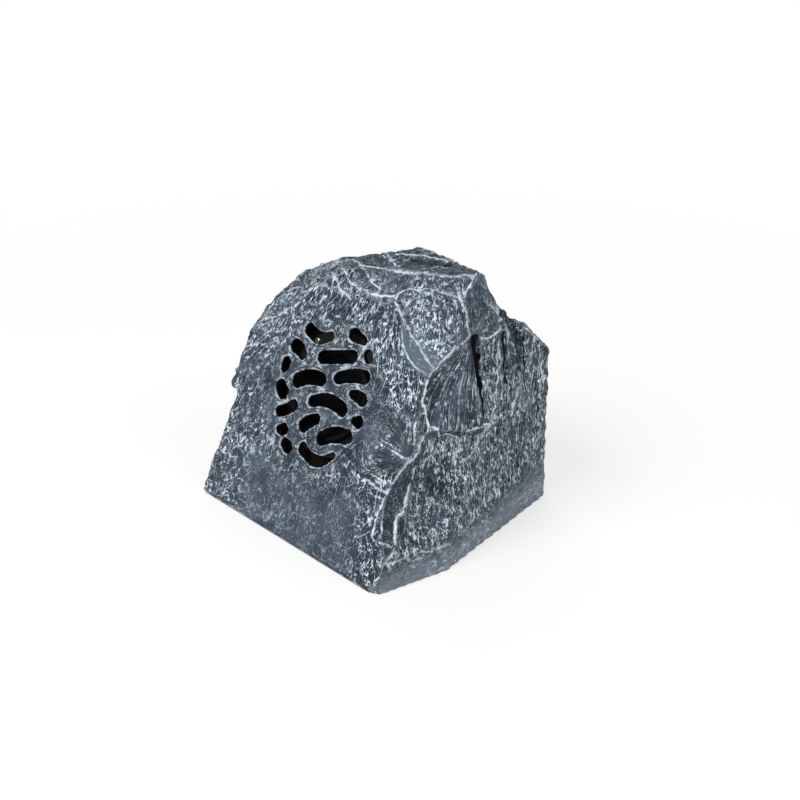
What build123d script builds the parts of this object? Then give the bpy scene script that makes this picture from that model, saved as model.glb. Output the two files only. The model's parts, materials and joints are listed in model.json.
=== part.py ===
from build123d import *

import os
from dataclasses import dataclass
from functools import lru_cache
from math import cos, radians, sin, tan

# Rock shaped garden loudspeaker: a hollow cast boulder with one full range driver behind openings
# moulded through its front wall. Millimetres, +Z up, -Y is the listening side, origin on the ground.

# Boulder
ROCK_WIDTH = 304.0
ROCK_DEPTH = 270.0
ROCK_HEIGHT = 288.0
WALL = 8.0
FRONT_LEAN = 26.0
CORNER_ROUND = 18.0
NOTCH_HEIGHT = 114.0
NOTCH_STEP = 13.0
NOTCH_RISE = 6.0
FOOT_STEP = 7.0
FOOT_LEAN = 3.0
BULGE_SETBACK = 53.0
FRONT_TAPER = 17.0
BACK_TAPER = 26.0

# Foot of the boulder and what closes it
RIM_WALL = 4.0
PLATE_RECESS = 2.5
PLATE_THICKNESS = 4.5
BASE_GASKET_THICKNESS = 1.2
PLATE_CLEARANCE = 0.5
BOSS_BEARINGS = (-133.0, -50.0, -16.0, 48.0, 128.0, 180.0)
BOSS_INSET = 13.5
BOSS_RADIUS = 8.0
BOSS_TOP = 46.0
INSERT_RADIUS = 3.0
INSERT_LENGTH = 9.0
INSERT_WELL = 11.0
SCREW_RADIUS = 2.0
SCREW_CLEARANCE = 0.3
SCREW_HEAD_RADIUS = 3.6
SCREW_HEAD_HEIGHT = 2.2
BASE_SCREW_LENGTH = 13.0

# Grille and baffle, measured on the front face and along its normal
GRILLE_X = -20.0
GRILLE_RISE = 159.0
SIDE_BOW = 0.1
RIB_SIDES = 8
RIB_REACH = 92.0
RIB_THICKNESS = 9.0
RIB_HEIGHT = 14.0
BAFFLE_THICKNESS = 12.0
BAFFLE_CUTOUT = 57.5
BAFFLE_SCREW_LENGTH = 20.0

# Driver frame
FLANGE_RADIUS = 67.0
FLANGE_OPENING = 52.0
GASKET_THICKNESS = 1.0
GASKET_INNER_RADIUS = 58.0
PRESSING = 1.5
DRIVER_SCREW_CIRCLE = 61.5
DRIVER_SCREW_COUNT = 4
DRIVER_SCREW_LENGTH = 11.0
SPIDER_LEDGE_DEPTH = 27.0
SPIDER_LEDGE_RADIUS = 37.0
SPIDER_LEDGE_WIDTH = 5.0
BASKET_DEPTH = 36.0
BASKET_FOOT_RADIUS = 30.0
WINDOW_COUNT = 6
WINDOW_WIDTH = 26.0
WINDOW_TOP = 4.0
WINDOW_FOOT = 20.0

# Moving parts of the driver
CONE_RADIUS = 44.0
CONE_RIM = 3.0
CONE_DEPTH = 22.5
CONE_THICKNESS = 0.9
NECK_DEPTH = 1.4
FORMER_RADIUS = 12.9
FORMER_THICKNESS = 0.4
FORMER_TOP = 19.0
COIL_THICKNESS = 0.5
COIL_LENGTH = 11.0
CAP_RADIUS = 20.0
CAP_BREAK_RADIUS = 13.0
CAP_RISE = 5.0
CAP_CROWN = 2.0
CAP_THICKNESS = 0.7
ROLL_RISE = 5.0
ROLL_FLAT = 4.0
SURROUND_THICKNESS = 0.8
SURROUND_LANDING = 4.0
SPIDER_THICKNESS = 0.6
SPIDER_WAVE = 2.0

# Motor
POLE_RADIUS = 12.2
GAP_RADIUS = 14.0
MOTOR_PLATE_RADIUS = 36.0
MOTOR_PLATE_THICKNESS = 5.0
MAGNET_RADIUS = 40.0
MAGNET_BORE = 18.0
MAGNET_HEIGHT = 15.0
VENT_RADIUS = 3.0

# Terminal strip on the basket, terminal block on the base plate and the leads between them
STRIP_WIDTH = 26.0
STRIP_LENGTH = 7.0
STRIP_REACH = 40.0
TAG_SPACING = 14.0
TAG_WIDTH = 4.0
TAG_LENGTH = 8.0
TAG_THICKNESS = 0.8
LEAD_RADIUS = 1.1
LEAD_BEND = 7.0
LEAD_DROP = 14.0
BLOCK_LENGTH = 44.0
BLOCK_WIDTH = 14.0
BLOCK_HEIGHT = 11.0
BLOCK_Y = 44.0
BLOCK_SCREW_SPACING = 34.0
BLOCK_SCREW_RADIUS = 1.5
BLOCK_SCREW_BITE = 3.0
BLOCK_HEAD_RADIUS = 2.8
BLOCK_HEAD_HEIGHT = 1.6

# Cable gland in a well at the foot of the back
GLAND_X = -20.0
GLAND_HEIGHT = 42.0
WELL_RADIUS = 17.0
WELL_WALL = 5.0
WELL_DEPTH = 19.0
WELL_FLOOR = 6.0
GLAND_RADIUS = 8.0
GLAND_BORE = 5.5
GLAND_HEX = 11.5
GLAND_FLANGE = 5.0
GLAND_NECK = 6.0
GLAND_TAIL = 9.0
LOCK_NUT_HEIGHT = 5.0
DOME_LIP = 2.0
DOME_MOUTH = 4.5
SEAL_LENGTH = 9.0
CABLE_RADIUS = 3.5

# Places worked out from the sizes above
HALF_WIDTH = ROCK_WIDTH / 2
HALF_DEPTH = ROCK_DEPTH / 2
PLATE_TOP = PLATE_RECESS + PLATE_THICKNESS
SEAT_HEIGHT = PLATE_TOP + BASE_GASKET_THICKNESS
FLANGE_FRONT = GASKET_THICKNESS + PRESSING
TOP_PLATE_FRONT = FLANGE_FRONT - BASKET_DEPTH - PRESSING
MAGNET_FRONT = TOP_PLATE_FRONT - MOTOR_PLATE_THICKNESS
YOKE_FRONT = MAGNET_FRONT - MAGNET_HEIGHT
LEDGE_FRONT = FLANGE_FRONT - SPIDER_LEDGE_DEPTH
NECK_FRONT = FLANGE_FRONT - CONE_DEPTH
COIL_MIDDLE = TOP_PLATE_FRONT - MOTOR_PLATE_THICKNESS / 2
WELL_SEAT = HALF_DEPTH - WELL_DEPTH
BLOCK_TOP = PLATE_TOP + BLOCK_HEIGHT
BAFFLE_SCREW_CIRCLE = (RIB_REACH - RIB_THICKNESS / 2) / cos(radians(180 / RIB_SIDES))


def front_y(height):
    """Y of the front face at a height."""
    return -HALF_DEPTH + height * tan(radians(FRONT_LEAN))


def behind_front(x, height, setback):
    """A point a level distance behind the front face."""
    return (x, front_y(height) + setback, height)


def outward(bearing, lean):
    """Unit vector with a compass bearing (0 is +X, 90 is +Y) that leans up from level."""
    level = cos(radians(lean))
    return Vector(level * cos(radians(bearing)), level * sin(radians(bearing)), sin(radians(lean)))


@dataclass(frozen=True)
class Cleave:
    """A flat face of the boulder."""

    bearing: float
    lean: float
    through: tuple

    def plane(self, inset):
        """The face as a plane, moved into the boulder by an inset."""
        normal = outward(self.bearing, self.lean)
        return Plane(origin=Vector(self.through) - normal * inset, z_dir=normal)


@dataclass(frozen=True)
class Scar:
    """A round chip scar: part of a large ball, as wide and as deep as given at its middle."""

    middle: tuple
    bearing: float
    lean: float
    across: float
    depth: float

    def lift(self):
        """From the scar's middle to the ball's centre."""
        return outward(self.bearing, self.lean) * (self.radius() - self.depth)

    def radius(self):
        """Radius of the ball."""
        return ((self.across / 2) ** 2 + self.depth**2) / (2 * self.depth)

    def cutter(self):
        """The ball that leaves the scar."""
        return Pos(*(Vector(self.middle) + self.lift())) * Sphere(self.radius())

    def floor(self, inset):
        """The plane that touches the scar at its deepest point, moved in by an inset."""
        normal = outward(self.bearing, self.lean)
        return Plane(origin=Vector(self.middle) - normal * (self.depth + inset), z_dir=normal)


@dataclass(frozen=True)
class Gully(Scar):
    """A scar drawn out into a trough: part of a large roll, from its middle to a foot."""

    foot: tuple

    def cutter(self):
        """The roll that leaves the trough."""
        run = Vector(self.foot) - Vector(self.middle)
        axis = Plane(origin=Vector(self.middle) + self.lift(), z_dir=run)
        return axis * Cylinder(self.radius(), 2 * run.length)


def on_face(face, spot):
    """The point of a flat face nearest to a spot."""
    plane = FACES[face].plane(0)
    return Vector(spot) - plane.z_dir * plane.to_local_coords(Vector(spot)).Z


@dataclass(frozen=True)
class Chip:
    """A shallow round scar in a flat face, at the point nearest to a spot."""

    face: str
    spot: tuple
    across: float
    depth: float

    def cutter(self):
        """The ball that leaves the chip."""
        face = FACES[self.face]
        return Scar(on_face(self.face, self.spot), face.bearing, face.lean, self.across, self.depth).cutter()


@dataclass(frozen=True)
class Flute:
    """A shallow trough down a flat face, deepest at its head and running out at its foot."""

    face: str
    head: tuple
    foot: tuple
    across: float
    depth: float

    def cutter(self):
        """The leaning roll that leaves the flute."""
        face = FACES[self.face]
        foot = on_face(self.face, self.foot) + outward(face.bearing, face.lean) * self.depth
        head = on_face(self.face, self.head)
        return Gully(head, face.bearing, face.lean, self.across, self.depth, foot).cutter()


@dataclass(frozen=True)
class Crack:
    """A wedge shaped crack in a flat face, from its wide end to its point."""

    face: str
    wide: tuple
    point: tuple
    width: float
    depth: float

    def cutter(self):
        """The wedge, as deep above the face as below it."""
        plane = FACES[self.face].plane(0)
        wide, point = (plane.to_local_coords(Vector(end)) for end in (self.wide, self.point))
        along = Vector(point.X - wide.X, point.Y - wide.Y).normalized()
        across = Vector(-along.Y, along.X) * self.width / 2
        mouth = Vector(wide.X, wide.Y)
        outline = Polyline(mouth + across, mouth - across, Vector(point.X, point.Y), close=True)
        return plane * extrude(make_face(outline), self.depth, both=True)


@dataclass(frozen=True)
class Opening:
    """A bean shaped opening between two round ends on the grille; sag bows its middle up or down."""

    left: tuple
    left_radius: float
    right: tuple
    right_radius: float
    sag: float = 0.0

    def outline(self):
        """The opening as a face, of two side arcs and two end arcs."""
        first, second = Vector(*self.left), Vector(*self.right)
        along = (second - first).normalized()
        across = Vector(-along.Y, along.X)
        middle = (first + second) / 2 + across * self.sag
        swell = across * ((self.left_radius + self.right_radius) / 2 + SIDE_BOW)
        left_top, left_foot = first + across * self.left_radius, first - across * self.left_radius
        right_top, right_foot = second + across * self.right_radius, second - across * self.right_radius
        rim = Curve() + [
            ThreePointArc(left_top, middle + swell, right_top),
            ThreePointArc(right_top, second + along * self.right_radius, right_foot),
            ThreePointArc(right_foot, middle - swell, left_foot),
            ThreePointArc(left_foot, first - along * self.left_radius, left_top),
        ]
        return make_face(rim)


FACES = {
    "front": Cleave(-90, FRONT_LEAN, behind_front(0, 0, 0)),
    "brow": Cleave(-87, 46, behind_front(40, ROCK_HEIGHT - 37, 0)),
    "crown": Cleave(180, 80, behind_front(9, ROCK_HEIGHT - 20, 9)),
    "back slope": Cleave(77, 41, (HALF_WIDTH - 41, 34, ROCK_HEIGHT - 3)),
    "right front": Cleave(-12.5, 11, (HALF_WIDTH, -BULGE_SETBACK, 0)),
    "right rear": Cleave(8, 2, (HALF_WIDTH, -BULGE_SETBACK, 0)),
    "back": Cleave(90, 0, (0, HALF_DEPTH, 0)),
    "back left": Cleave(142, 16, (-HALF_WIDTH + 24, HALF_DEPTH - 20, 0)),
    "left": Cleave(180, 4, (-HALF_WIDTH, 0, NOTCH_HEIGHT)),
    "upper left": Cleave(235, 46.5, behind_front(-HALF_WIDTH + 16, ROCK_HEIGHT - 108, 0)),
    "left slope": Cleave(150, 55, (-HALF_WIDTH + 53, 2, ROCK_HEIGHT - 46)),
}

SCARS = {
    "scallop": Scar(behind_front(HALF_WIDTH - 68, ROCK_HEIGHT - 66, 5), -68, 42, 66, 7),
    "brow hollow": Scar(behind_front(10, ROCK_HEIGHT - 25, 6), -88, 42, 70, 6),
    "crown hollow": Scar((25, 44, ROCK_HEIGHT - 17), 180, 80, 62, 5),
    "side hollow": Scar((HALF_WIDTH - 17, -BULGE_SETBACK + 1, 84), -12.5, 11, 92, 5),
    "side scoop": Scar((HALF_WIDTH - 26, -18, ROCK_HEIGHT - 103), -26, 12, 86, 8),
    "corner gouge": Scar((HALF_WIDTH - 29, front_y(90), 90), -53, 20, 100, 9),
    "left chip": Scar((-HALF_WIDTH + 6, 0, ROCK_HEIGHT - 76), 200, 40, 44, 9),
    "back": Scar((-10, HALF_DEPTH, 150), 88, 8, 120, 8),
    "shoulder": Gully(
        middle=(HALF_WIDTH - 6, 38, ROCK_HEIGHT - 17),
        bearing=77,
        lean=41,
        across=64,
        depth=11,
        foot=(HALF_WIDTH - 92, 117, ROCK_HEIGHT - 83),
    ),
}

CHIPS = (
    Flute("right rear", (HALF_WIDTH, 32, ROCK_HEIGHT - 68), (HALF_WIDTH, 36, 70), 30, 3),
    Flute("right rear", (HALF_WIDTH, 70, ROCK_HEIGHT - 88), (HALF_WIDTH, 73, 52), 28, 3),
    Flute("right rear", (HALF_WIDTH, 107, ROCK_HEIGHT - 105), (HALF_WIDTH, 110, 42), 34, 3.5),
    Chip("right rear", (HALF_WIDTH, 16, ROCK_HEIGHT - 40), 56, 4),
    Chip("crown", (-20, 20, ROCK_HEIGHT), 58, 3),
    Chip("crown", (72, 40, ROCK_HEIGHT), 46, 2.5),
    Chip("upper left", (-112, -42, ROCK_HEIGHT - 84), 58, 4),
    Chip("upper left", (-72, -8, ROCK_HEIGHT - 40), 50, 3.5),
    Chip("left slope", (-84, 48, ROCK_HEIGHT - 46), 58, 3),
    Chip("left", (-HALF_WIDTH, 34, ROCK_HEIGHT - 130), 56, 3.5),
    Chip("back left", (-124, 104, ROCK_HEIGHT - 160), 84, 4),
    Chip("back left", (-HALF_WIDTH, 78, 62), 56, 3),
    Chip("back", (84, HALF_DEPTH, 88), 78, 4),
    Chip("back", (-92, HALF_DEPTH, 104), 66, 3.5),
    Chip("back slope", (62, 92, ROCK_HEIGHT - 70), 78, 4),
    Chip("back slope", (-34, 84, ROCK_HEIGHT - 52), 84, 4),
)

CRACKS = (
    Crack("right front", (HALF_WIDTH - 32, 14, ROCK_HEIGHT - 60), (HALF_WIDTH - 23, 12, 126), 9, 5),
    Crack("right rear", (HALF_WIDTH - 21, 50, ROCK_HEIGHT - 66), (HALF_WIDTH - 18, 57, 100), 8, 4),
    Crack("right rear", (HALF_WIDTH - 26, 87, ROCK_HEIGHT - 83), (HALF_WIDTH - 23, 85, 120), 7, 4),
)

OPENINGS = (
    Opening((-41, 54), 8, (-11, 56.5), 5.5, -5),
    Opening((19.5, 68), 7.5, (35, 66), 4.5),
    Opening((-54, 32), 8, (-41, 27.5), 6.5, 1),
    Opening((-13, 33), 7, (27, 47), 7),
    Opening((45.5, 55), 6, (48, 52), 6),
    Opening((-60.5, 6), 5.5, (-60, 11.5), 6.8),
    Opening((-36, 0), 8.5, (-5, 11.5), 7.5, 3),
    Opening((17, 20.5), 6.5, (51, 33), 7.5, 2),
    Opening((-57, -14), 8, (-52, -18), 8.5),
    Opening((42, 12), 5, (57, 11), 7, 1),
    Opening((-7, -13), 6.5, (35, -7), 8, 5),
    Opening((-48, -39), 6, (-31, -26), 6.5, -1),
    Opening((-8, -40), 8, (5.5, -28), 6, 1),
    Opening((55, -12), 4.5, (61, -11), 7.2),
    Opening((-40.5, -56), 5, (-34.5, -54), 7),
    Opening((21, -43.5), 8, (52, -30.5), 8.5, 3),
    Opening((-26, -67), 6.5, (-20.5, -69), 7),
    Opening((2, -62.5), 8, (42, -54.5), 4.5, -9),
)

GRILLE_PLANE = Plane(
    origin=behind_front(GRILLE_X, GRILLE_RISE * cos(radians(FRONT_LEAN)), 0),
    x_dir=(1, 0, 0),
    z_dir=outward(-90, FRONT_LEAN),
)
DRIVER_PLANE = GRILLE_PLANE.offset(-WALL - RIB_HEIGHT)
GLAND_PLACE = Pos(GLAND_X, WELL_SEAT, GLAND_HEIGHT) * Rot(-90, 0, 0)


def ring(outer, inner, foot, top):
    """A plain ring or disc about the local Z axis."""
    flat = Circle(outer) - Circle(inner) if inner else Circle(outer)
    return extrude(Pos(0, 0, foot) * flat, top - foot)


def turned(*points):
    """A turned piece from its half section, radius first."""
    return revolve(make_face(Plane.XZ * Polyline(*points, close=True)), Axis.Z)


def studs(places, radius, foot, top):
    """Upright round pins at a set of places."""
    return [Pos(x, y, 0) * ring(radius, 0, foot, top) for x, y in places]


def screws(places, length, seat, radius, head_radius, head_height, heads_up):
    """Screws with plain shanks, their heads bearing on a seat height."""
    way = 1 if heads_up else -1
    found = []
    for x, y in places:
        head = ring(head_radius, 0, *sorted((seat, seat + way * head_height)))
        shank = ring(radius, 0, *sorted((seat, seat - way * length)))
        found.append(Pos(x, y, 0) * (head + shank))
    return found


def circle_places(radius, count, start):
    """Places spread round a circle."""
    angles = [radians(start + 360 * i / count) for i in range(count)]
    return [(radius * cos(a), radius * sin(a)) for a in angles]


DRIVER_SCREW_PLACES = circle_places(DRIVER_SCREW_CIRCLE, DRIVER_SCREW_COUNT, 45)
BAFFLE_SCREW_PLACES = circle_places(BAFFLE_SCREW_CIRCLE, RIB_SIDES, 180 / RIB_SIDES)
BLOCK_SCREW_PLACES = [(GRILLE_X + side * BLOCK_SCREW_SPACING / 2, BLOCK_Y) for side in (-1, 1)]


def footprint(inset):
    """The ground outline, with its corners rounded where the side doesn't bulge."""
    corners = [
        (-HALF_WIDTH, -HALF_DEPTH),
        (HALF_WIDTH - FRONT_TAPER, -HALF_DEPTH),
        (HALF_WIDTH, -BULGE_SETBACK),
        (HALF_WIDTH - BACK_TAPER, HALF_DEPTH),
        (-HALF_WIDTH, HALF_DEPTH),
    ]
    outline = make_face(Polyline(*corners, close=True))
    square = outline.vertices().filter_by(lambda v: v.X < HALF_WIDTH - 1)
    outline = fillet(square, CORNER_ROUND)
    return offset(outline, -inset) if inset else outline


def notch(inset):
    """What is missing under the overhang of the left side, down to its leaning foot."""
    reach = 2 * ROCK_DEPTH
    corner = Pos(-HALF_WIDTH + NOTCH_STEP + inset, 0, NOTCH_HEIGHT + inset) * Rot(NOTCH_RISE, 0, 0)
    gap = corner * Box(reach, reach, reach, align=(Align.MAX, Align.CENTER, Align.MAX))
    foot = Cleave(180, FOOT_LEAN, (-HALF_WIDTH + FOOT_STEP, 0, 0))
    return split(gap, bisect_by=foot.plane(inset), keep=Keep.TOP)


@lru_cache
def block(inset):
    """The boulder's flat faces and overhang alone, smaller all round by an inset."""
    rock = extrude(footprint(inset), 1.2 * ROCK_HEIGHT)
    for face in FACES.values():
        rock = split(rock, bisect_by=face.plane(inset), keep=Keep.BOTTOM)
    return rock - notch(inset)


@lru_cache
def core(inset):
    """The hollow of the boulder: flat faces only, clear of the scars by the same inset."""
    hollow = block(inset)
    for scar in SCARS.values():
        hollow = split(hollow, bisect_by=scar.floor(inset), keep=Keep.BOTTOM)
    return hollow


@lru_cache
def plug_outline(inset):
    """The boulder's outline at the height of the seat, inset."""
    return section(core(inset), Plane.XY, SEAT_HEIGHT).faces()[0]


def plug(inset, foot, top):
    """A straight sided plug of that outline between two heights."""
    return extrude(Pos(0, 0, foot - SEAT_HEIGHT) * plug_outline(inset), top - foot, dir=(0, 0, 1))


def boss_places():
    """Where spokes from the middle meet a line set in from the boulder's outline at the seat."""
    middle = Vector(0, 0, SEAT_HEIGHT)
    spokes = [Line(middle, middle + outward(bearing, 0) * ROCK_WIDTH) for bearing in BOSS_BEARINGS]
    ends = [(spoke & plug_outline(BOSS_INSET)) @ 1 for spoke in spokes]
    return [(end.X, end.Y) for end in ends]


BOSS_PLACES = boss_places()


def eight_sided(reach, foot, top):
    """A prism with eight sides, lying flat on the driver's axis."""
    flat = RegularPolygon(reach, RIB_SIDES, major_radius=False, rotation=180 / RIB_SIDES)
    return extrude(Pos(0, 0, foot) * flat, top - foot)


def make_rock_shell():
    """The cast boulder: walls, scars, chips, cracks, grille, rib, bosses and the well for the gland."""
    shell = block(0)
    for flaw in (*SCARS.values(), *CHIPS, *CRACKS):
        shell -= flaw.cutter()
    shell -= core(WALL)
    well = ring(WELL_RADIUS + WELL_WALL, 0, -WELL_FLOOR, WELL_DEPTH)
    inside = Part() + studs(BOSS_PLACES, BOSS_RADIUS, SEAT_HEIGHT, BOSS_TOP) + GLAND_PLACE * well
    shell += inside & core(RIM_WALL)
    rib = eight_sided(RIB_REACH, 0, RIB_HEIGHT) - eight_sided(RIB_REACH - RIB_THICKNESS, 0, RIB_HEIGHT)
    rib -= studs(BAFFLE_SCREW_PLACES, SCREW_RADIUS, 0, BAFFLE_SCREW_LENGTH - BAFFLE_THICKNESS)
    shell += DRIVER_PLANE * rib
    shell -= plug(RIM_WALL, -SEAT_HEIGHT, SEAT_HEIGHT)
    shell -= studs(BOSS_PLACES, INSERT_RADIUS, SEAT_HEIGHT, SEAT_HEIGHT + INSERT_WELL)
    through = Sketch() + [opening.outline() for opening in OPENINGS]
    shell -= GRILLE_PLANE * extrude(through, 1.5 * WALL, both=True)
    shell -= GLAND_PLACE * ring(WELL_RADIUS, 0, 0, 2 * WELL_DEPTH)
    shell -= GLAND_PLACE * ring(GLAND_RADIUS, 0, -2 * WELL_FLOOR, WELL_FLOOR)
    return shell


def make_baffle_board():
    """The board that carries the driver, cut to the rib's eight sides."""
    board = eight_sided(RIB_REACH, -BAFFLE_THICKNESS, 0) - ring(BAFFLE_CUTOUT, 0, -BAFFLE_THICKNESS, 0)
    grip = DRIVER_SCREW_LENGTH - FLANGE_FRONT
    board -= studs(DRIVER_SCREW_PLACES, SCREW_RADIUS, -grip, 0)
    hole = SCREW_RADIUS + SCREW_CLEARANCE
    return board - studs(BAFFLE_SCREW_PLACES, hole, -BAFFLE_THICKNESS, 0)


def make_baffle_screws():
    """Screws from behind the board into the rib."""
    head = (SCREW_HEAD_RADIUS, SCREW_HEAD_HEIGHT, False)
    return screws(BAFFLE_SCREW_PLACES, BAFFLE_SCREW_LENGTH, -BAFFLE_THICKNESS, SCREW_RADIUS, *head)


def make_driver_gasket():
    """Foam ring between the flange and the board."""
    foam = ring(FLANGE_RADIUS, GASKET_INNER_RADIUS, 0, GASKET_THICKNESS)
    return foam - studs(DRIVER_SCREW_PLACES, SCREW_RADIUS + SCREW_CLEARANCE, 0, GASKET_THICKNESS)


def make_driver_screws():
    """Screws from the front through the flange into the board."""
    head = (SCREW_HEAD_RADIUS, SCREW_HEAD_HEIGHT, True)
    return screws(DRIVER_SCREW_PLACES, DRIVER_SCREW_LENGTH, FLANGE_FRONT, SCREW_RADIUS, *head)


def basket_blank():
    """The pressed frame before its windows are cut."""
    ledge_inner = SPIDER_LEDGE_RADIUS - SPIDER_LEDGE_WIDTH
    foot = TOP_PLATE_FRONT + PRESSING
    return turned(
        (FLANGE_RADIUS, FLANGE_FRONT),
        (FLANGE_OPENING, FLANGE_FRONT),
        (SPIDER_LEDGE_RADIUS, LEDGE_FRONT),
        (ledge_inner, LEDGE_FRONT),
        (BASKET_FOOT_RADIUS, foot),
        (GAP_RADIUS, foot),
        (GAP_RADIUS, TOP_PLATE_FRONT),
        (BASKET_FOOT_RADIUS + PRESSING, TOP_PLATE_FRONT),
        (ledge_inner + PRESSING, LEDGE_FRONT - PRESSING),
        (SPIDER_LEDGE_RADIUS + PRESSING, LEDGE_FRONT - PRESSING),
        (FLANGE_OPENING + PRESSING, GASKET_THICKNESS),
        (FLANGE_RADIUS, GASKET_THICKNESS),
    )


def make_basket():
    """The pressed frame: flange, windows, spider ledge and foot."""
    tall = WINDOW_FOOT - WINDOW_TOP
    cutter = Pos(FLANGE_OPENING, 0, FLANGE_FRONT - WINDOW_TOP - tall / 2)
    cutter *= Box(FLANGE_OPENING, WINDOW_WIDTH, tall)
    frame = basket_blank()
    for turn in range(WINDOW_COUNT):
        frame -= Rot(0, 0, turn * 360 / WINDOW_COUNT) * cutter
    return frame - studs(DRIVER_SCREW_PLACES, SCREW_RADIUS + SCREW_CLEARANCE, 0, FLANGE_FRONT)


def make_surround():
    """Roll between the cone's rim and the flange."""
    skin = SURROUND_THICKNESS
    foot, peak = FLANGE_FRONT, FLANGE_FRONT + ROLL_RISE
    inner, outer = CONE_RADIUS, FLANGE_OPENING
    middle = (inner + outer) / 2
    return turned(
        (inner - CONE_RIM, foot),
        (inner, foot),
        (middle - ROLL_FLAT / 2, peak),
        (middle + ROLL_FLAT / 2, peak),
        (outer, foot),
        (outer + SURROUND_LANDING, foot),
        (outer + SURROUND_LANDING, foot + skin),
        (outer + skin, foot + skin),
        (middle + ROLL_FLAT / 2 + skin / 2, peak + skin),
        (middle - ROLL_FLAT / 2 - skin / 2, peak + skin),
        (inner - skin, foot + skin),
        (inner - CONE_RIM, foot + skin),
    )


def cone_front(radius):
    """Height of the cone's front at a radius."""
    share = (radius - FORMER_RADIUS) / (CONE_RADIUS - CONE_RIM - FORMER_RADIUS)
    return NECK_FRONT + share * CONE_DEPTH


def make_cone():
    """Paper cone with a flat rim for the surround."""
    rim = CONE_RADIUS - CONE_RIM
    return turned(
        (CONE_RADIUS, FLANGE_FRONT),
        (rim, FLANGE_FRONT),
        (FORMER_RADIUS, NECK_FRONT),
        (FORMER_RADIUS, NECK_FRONT - NECK_DEPTH),
        (rim + CONE_THICKNESS / 2, FLANGE_FRONT - CONE_THICKNESS),
        (CONE_RADIUS, FLANGE_FRONT - CONE_THICKNESS),
    )


def make_dust_cap():
    """Cap over the voice coil, its edge bedded on the cone."""
    edge, rim = cone_front(CAP_RADIUS), cone_front(CAP_RADIUS - CAP_THICKNESS)
    shoulder = edge + CAP_RISE
    crown = shoulder + CAP_CROWN
    return turned(
        (CAP_RADIUS, edge),
        (CAP_BREAK_RADIUS, shoulder),
        (0, crown),
        (0, crown - CAP_THICKNESS),
        (CAP_BREAK_RADIUS - CAP_THICKNESS / 3, shoulder - CAP_THICKNESS),
        (CAP_RADIUS - CAP_THICKNESS, rim),
    )


def make_spider():
    """Corrugated centring disc between the former and its ledge."""
    skin, low = SPIDER_THICKNESS, LEDGE_FRONT
    inner = SPIDER_LEDGE_RADIUS - SPIDER_LEDGE_WIDTH
    step = (inner - FORMER_RADIUS) / 4
    ridge = [(FORMER_RADIUS + i * step, low + SPIDER_WAVE * (i % 2)) for i in range(5)]
    under = ridge + [(SPIDER_LEDGE_RADIUS, low)]
    return turned(*under, *[(radius, height + skin) for radius, height in reversed(under)])


def make_voice_coil():
    """Former with its winding."""
    winding_top = COIL_MIDDLE + COIL_LENGTH / 2
    foot = winding_top - COIL_LENGTH
    return turned(
        (FORMER_RADIUS - FORMER_THICKNESS, FLANGE_FRONT - FORMER_TOP),
        (FORMER_RADIUS, FLANGE_FRONT - FORMER_TOP),
        (FORMER_RADIUS, winding_top),
        (FORMER_RADIUS + COIL_THICKNESS, winding_top),
        (FORMER_RADIUS + COIL_THICKNESS, foot),
        (FORMER_RADIUS - FORMER_THICKNESS, foot),
    )


def make_top_plate():
    """Steel ring round the voice coil."""
    return ring(MOTOR_PLATE_RADIUS, GAP_RADIUS, MAGNET_FRONT, TOP_PLATE_FRONT)


def make_magnet():
    """Ferrite ring."""
    return ring(MAGNET_RADIUS, MAGNET_BORE, YOKE_FRONT, MAGNET_FRONT)


def make_yoke():
    """Back plate and pole in one, with a vent."""
    plate = ring(MOTOR_PLATE_RADIUS, 0, YOKE_FRONT - MOTOR_PLATE_THICKNESS, YOKE_FRONT)
    pole = ring(POLE_RADIUS, 0, YOKE_FRONT, TOP_PLATE_FRONT)
    return plate + pole - ring(VENT_RADIUS, 0, YOKE_FRONT - MOTOR_PLATE_THICKNESS, TOP_PLATE_FRONT)


STRIP_MIDDLE = TOP_PLATE_FRONT + PRESSING + STRIP_LENGTH / 2


def make_terminal_strip():
    """Insulating strip bedded on the basket's foot."""
    strip = Pos(0, -STRIP_REACH / 2, STRIP_MIDDLE) * Box(STRIP_WIDTH, STRIP_REACH, STRIP_LENGTH)
    inside = basket_blank() + ring(BASKET_FOOT_RADIUS, 0, TOP_PLATE_FRONT, LEDGE_FRONT)
    return (strip - inside).solids().sort_by(Axis.Y)[0]


def make_terminal_tags():
    """Blades for the leads, standing out of the strip."""
    blade = Box(TAG_WIDTH, TAG_LENGTH, TAG_THICKNESS)
    reach = STRIP_REACH + TAG_LENGTH / 2
    return [Pos(side * TAG_SPACING / 2, -reach, STRIP_MIDDLE) * blade for side in (-1, 1)]


def make_lead(side):
    """A lead from its tag to the terminal block, in an upright plane."""
    tip = Vector(side * TAG_SPACING / 2, -STRIP_REACH - TAG_LENGTH, STRIP_MIDDLE)
    start = DRIVER_PLANE.from_local_coords(tip)
    drop = DRIVER_PLANE.from_local_coords(tip - Vector(0, LEAD_DROP, 0))
    turn = Vector(start.X, BLOCK_Y, drop.Z)
    stop = Vector(start.X, BLOCK_Y, BLOCK_TOP)
    route = FilletPolyline(start, drop, turn, stop, radius=LEAD_BEND)
    return sweep(Plane(origin=route @ 0, z_dir=route % 0) * Circle(LEAD_RADIUS), path=route)


def make_terminal_block():
    """Block on the base plate where the leads end."""
    body = Pos(GRILLE_X, BLOCK_Y, PLATE_TOP + BLOCK_HEIGHT / 2) * Box(BLOCK_LENGTH, BLOCK_WIDTH, BLOCK_HEIGHT)
    hole = BLOCK_SCREW_RADIUS + SCREW_CLEARANCE
    return body - studs(BLOCK_SCREW_PLACES, hole, PLATE_TOP, BLOCK_TOP)


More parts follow.
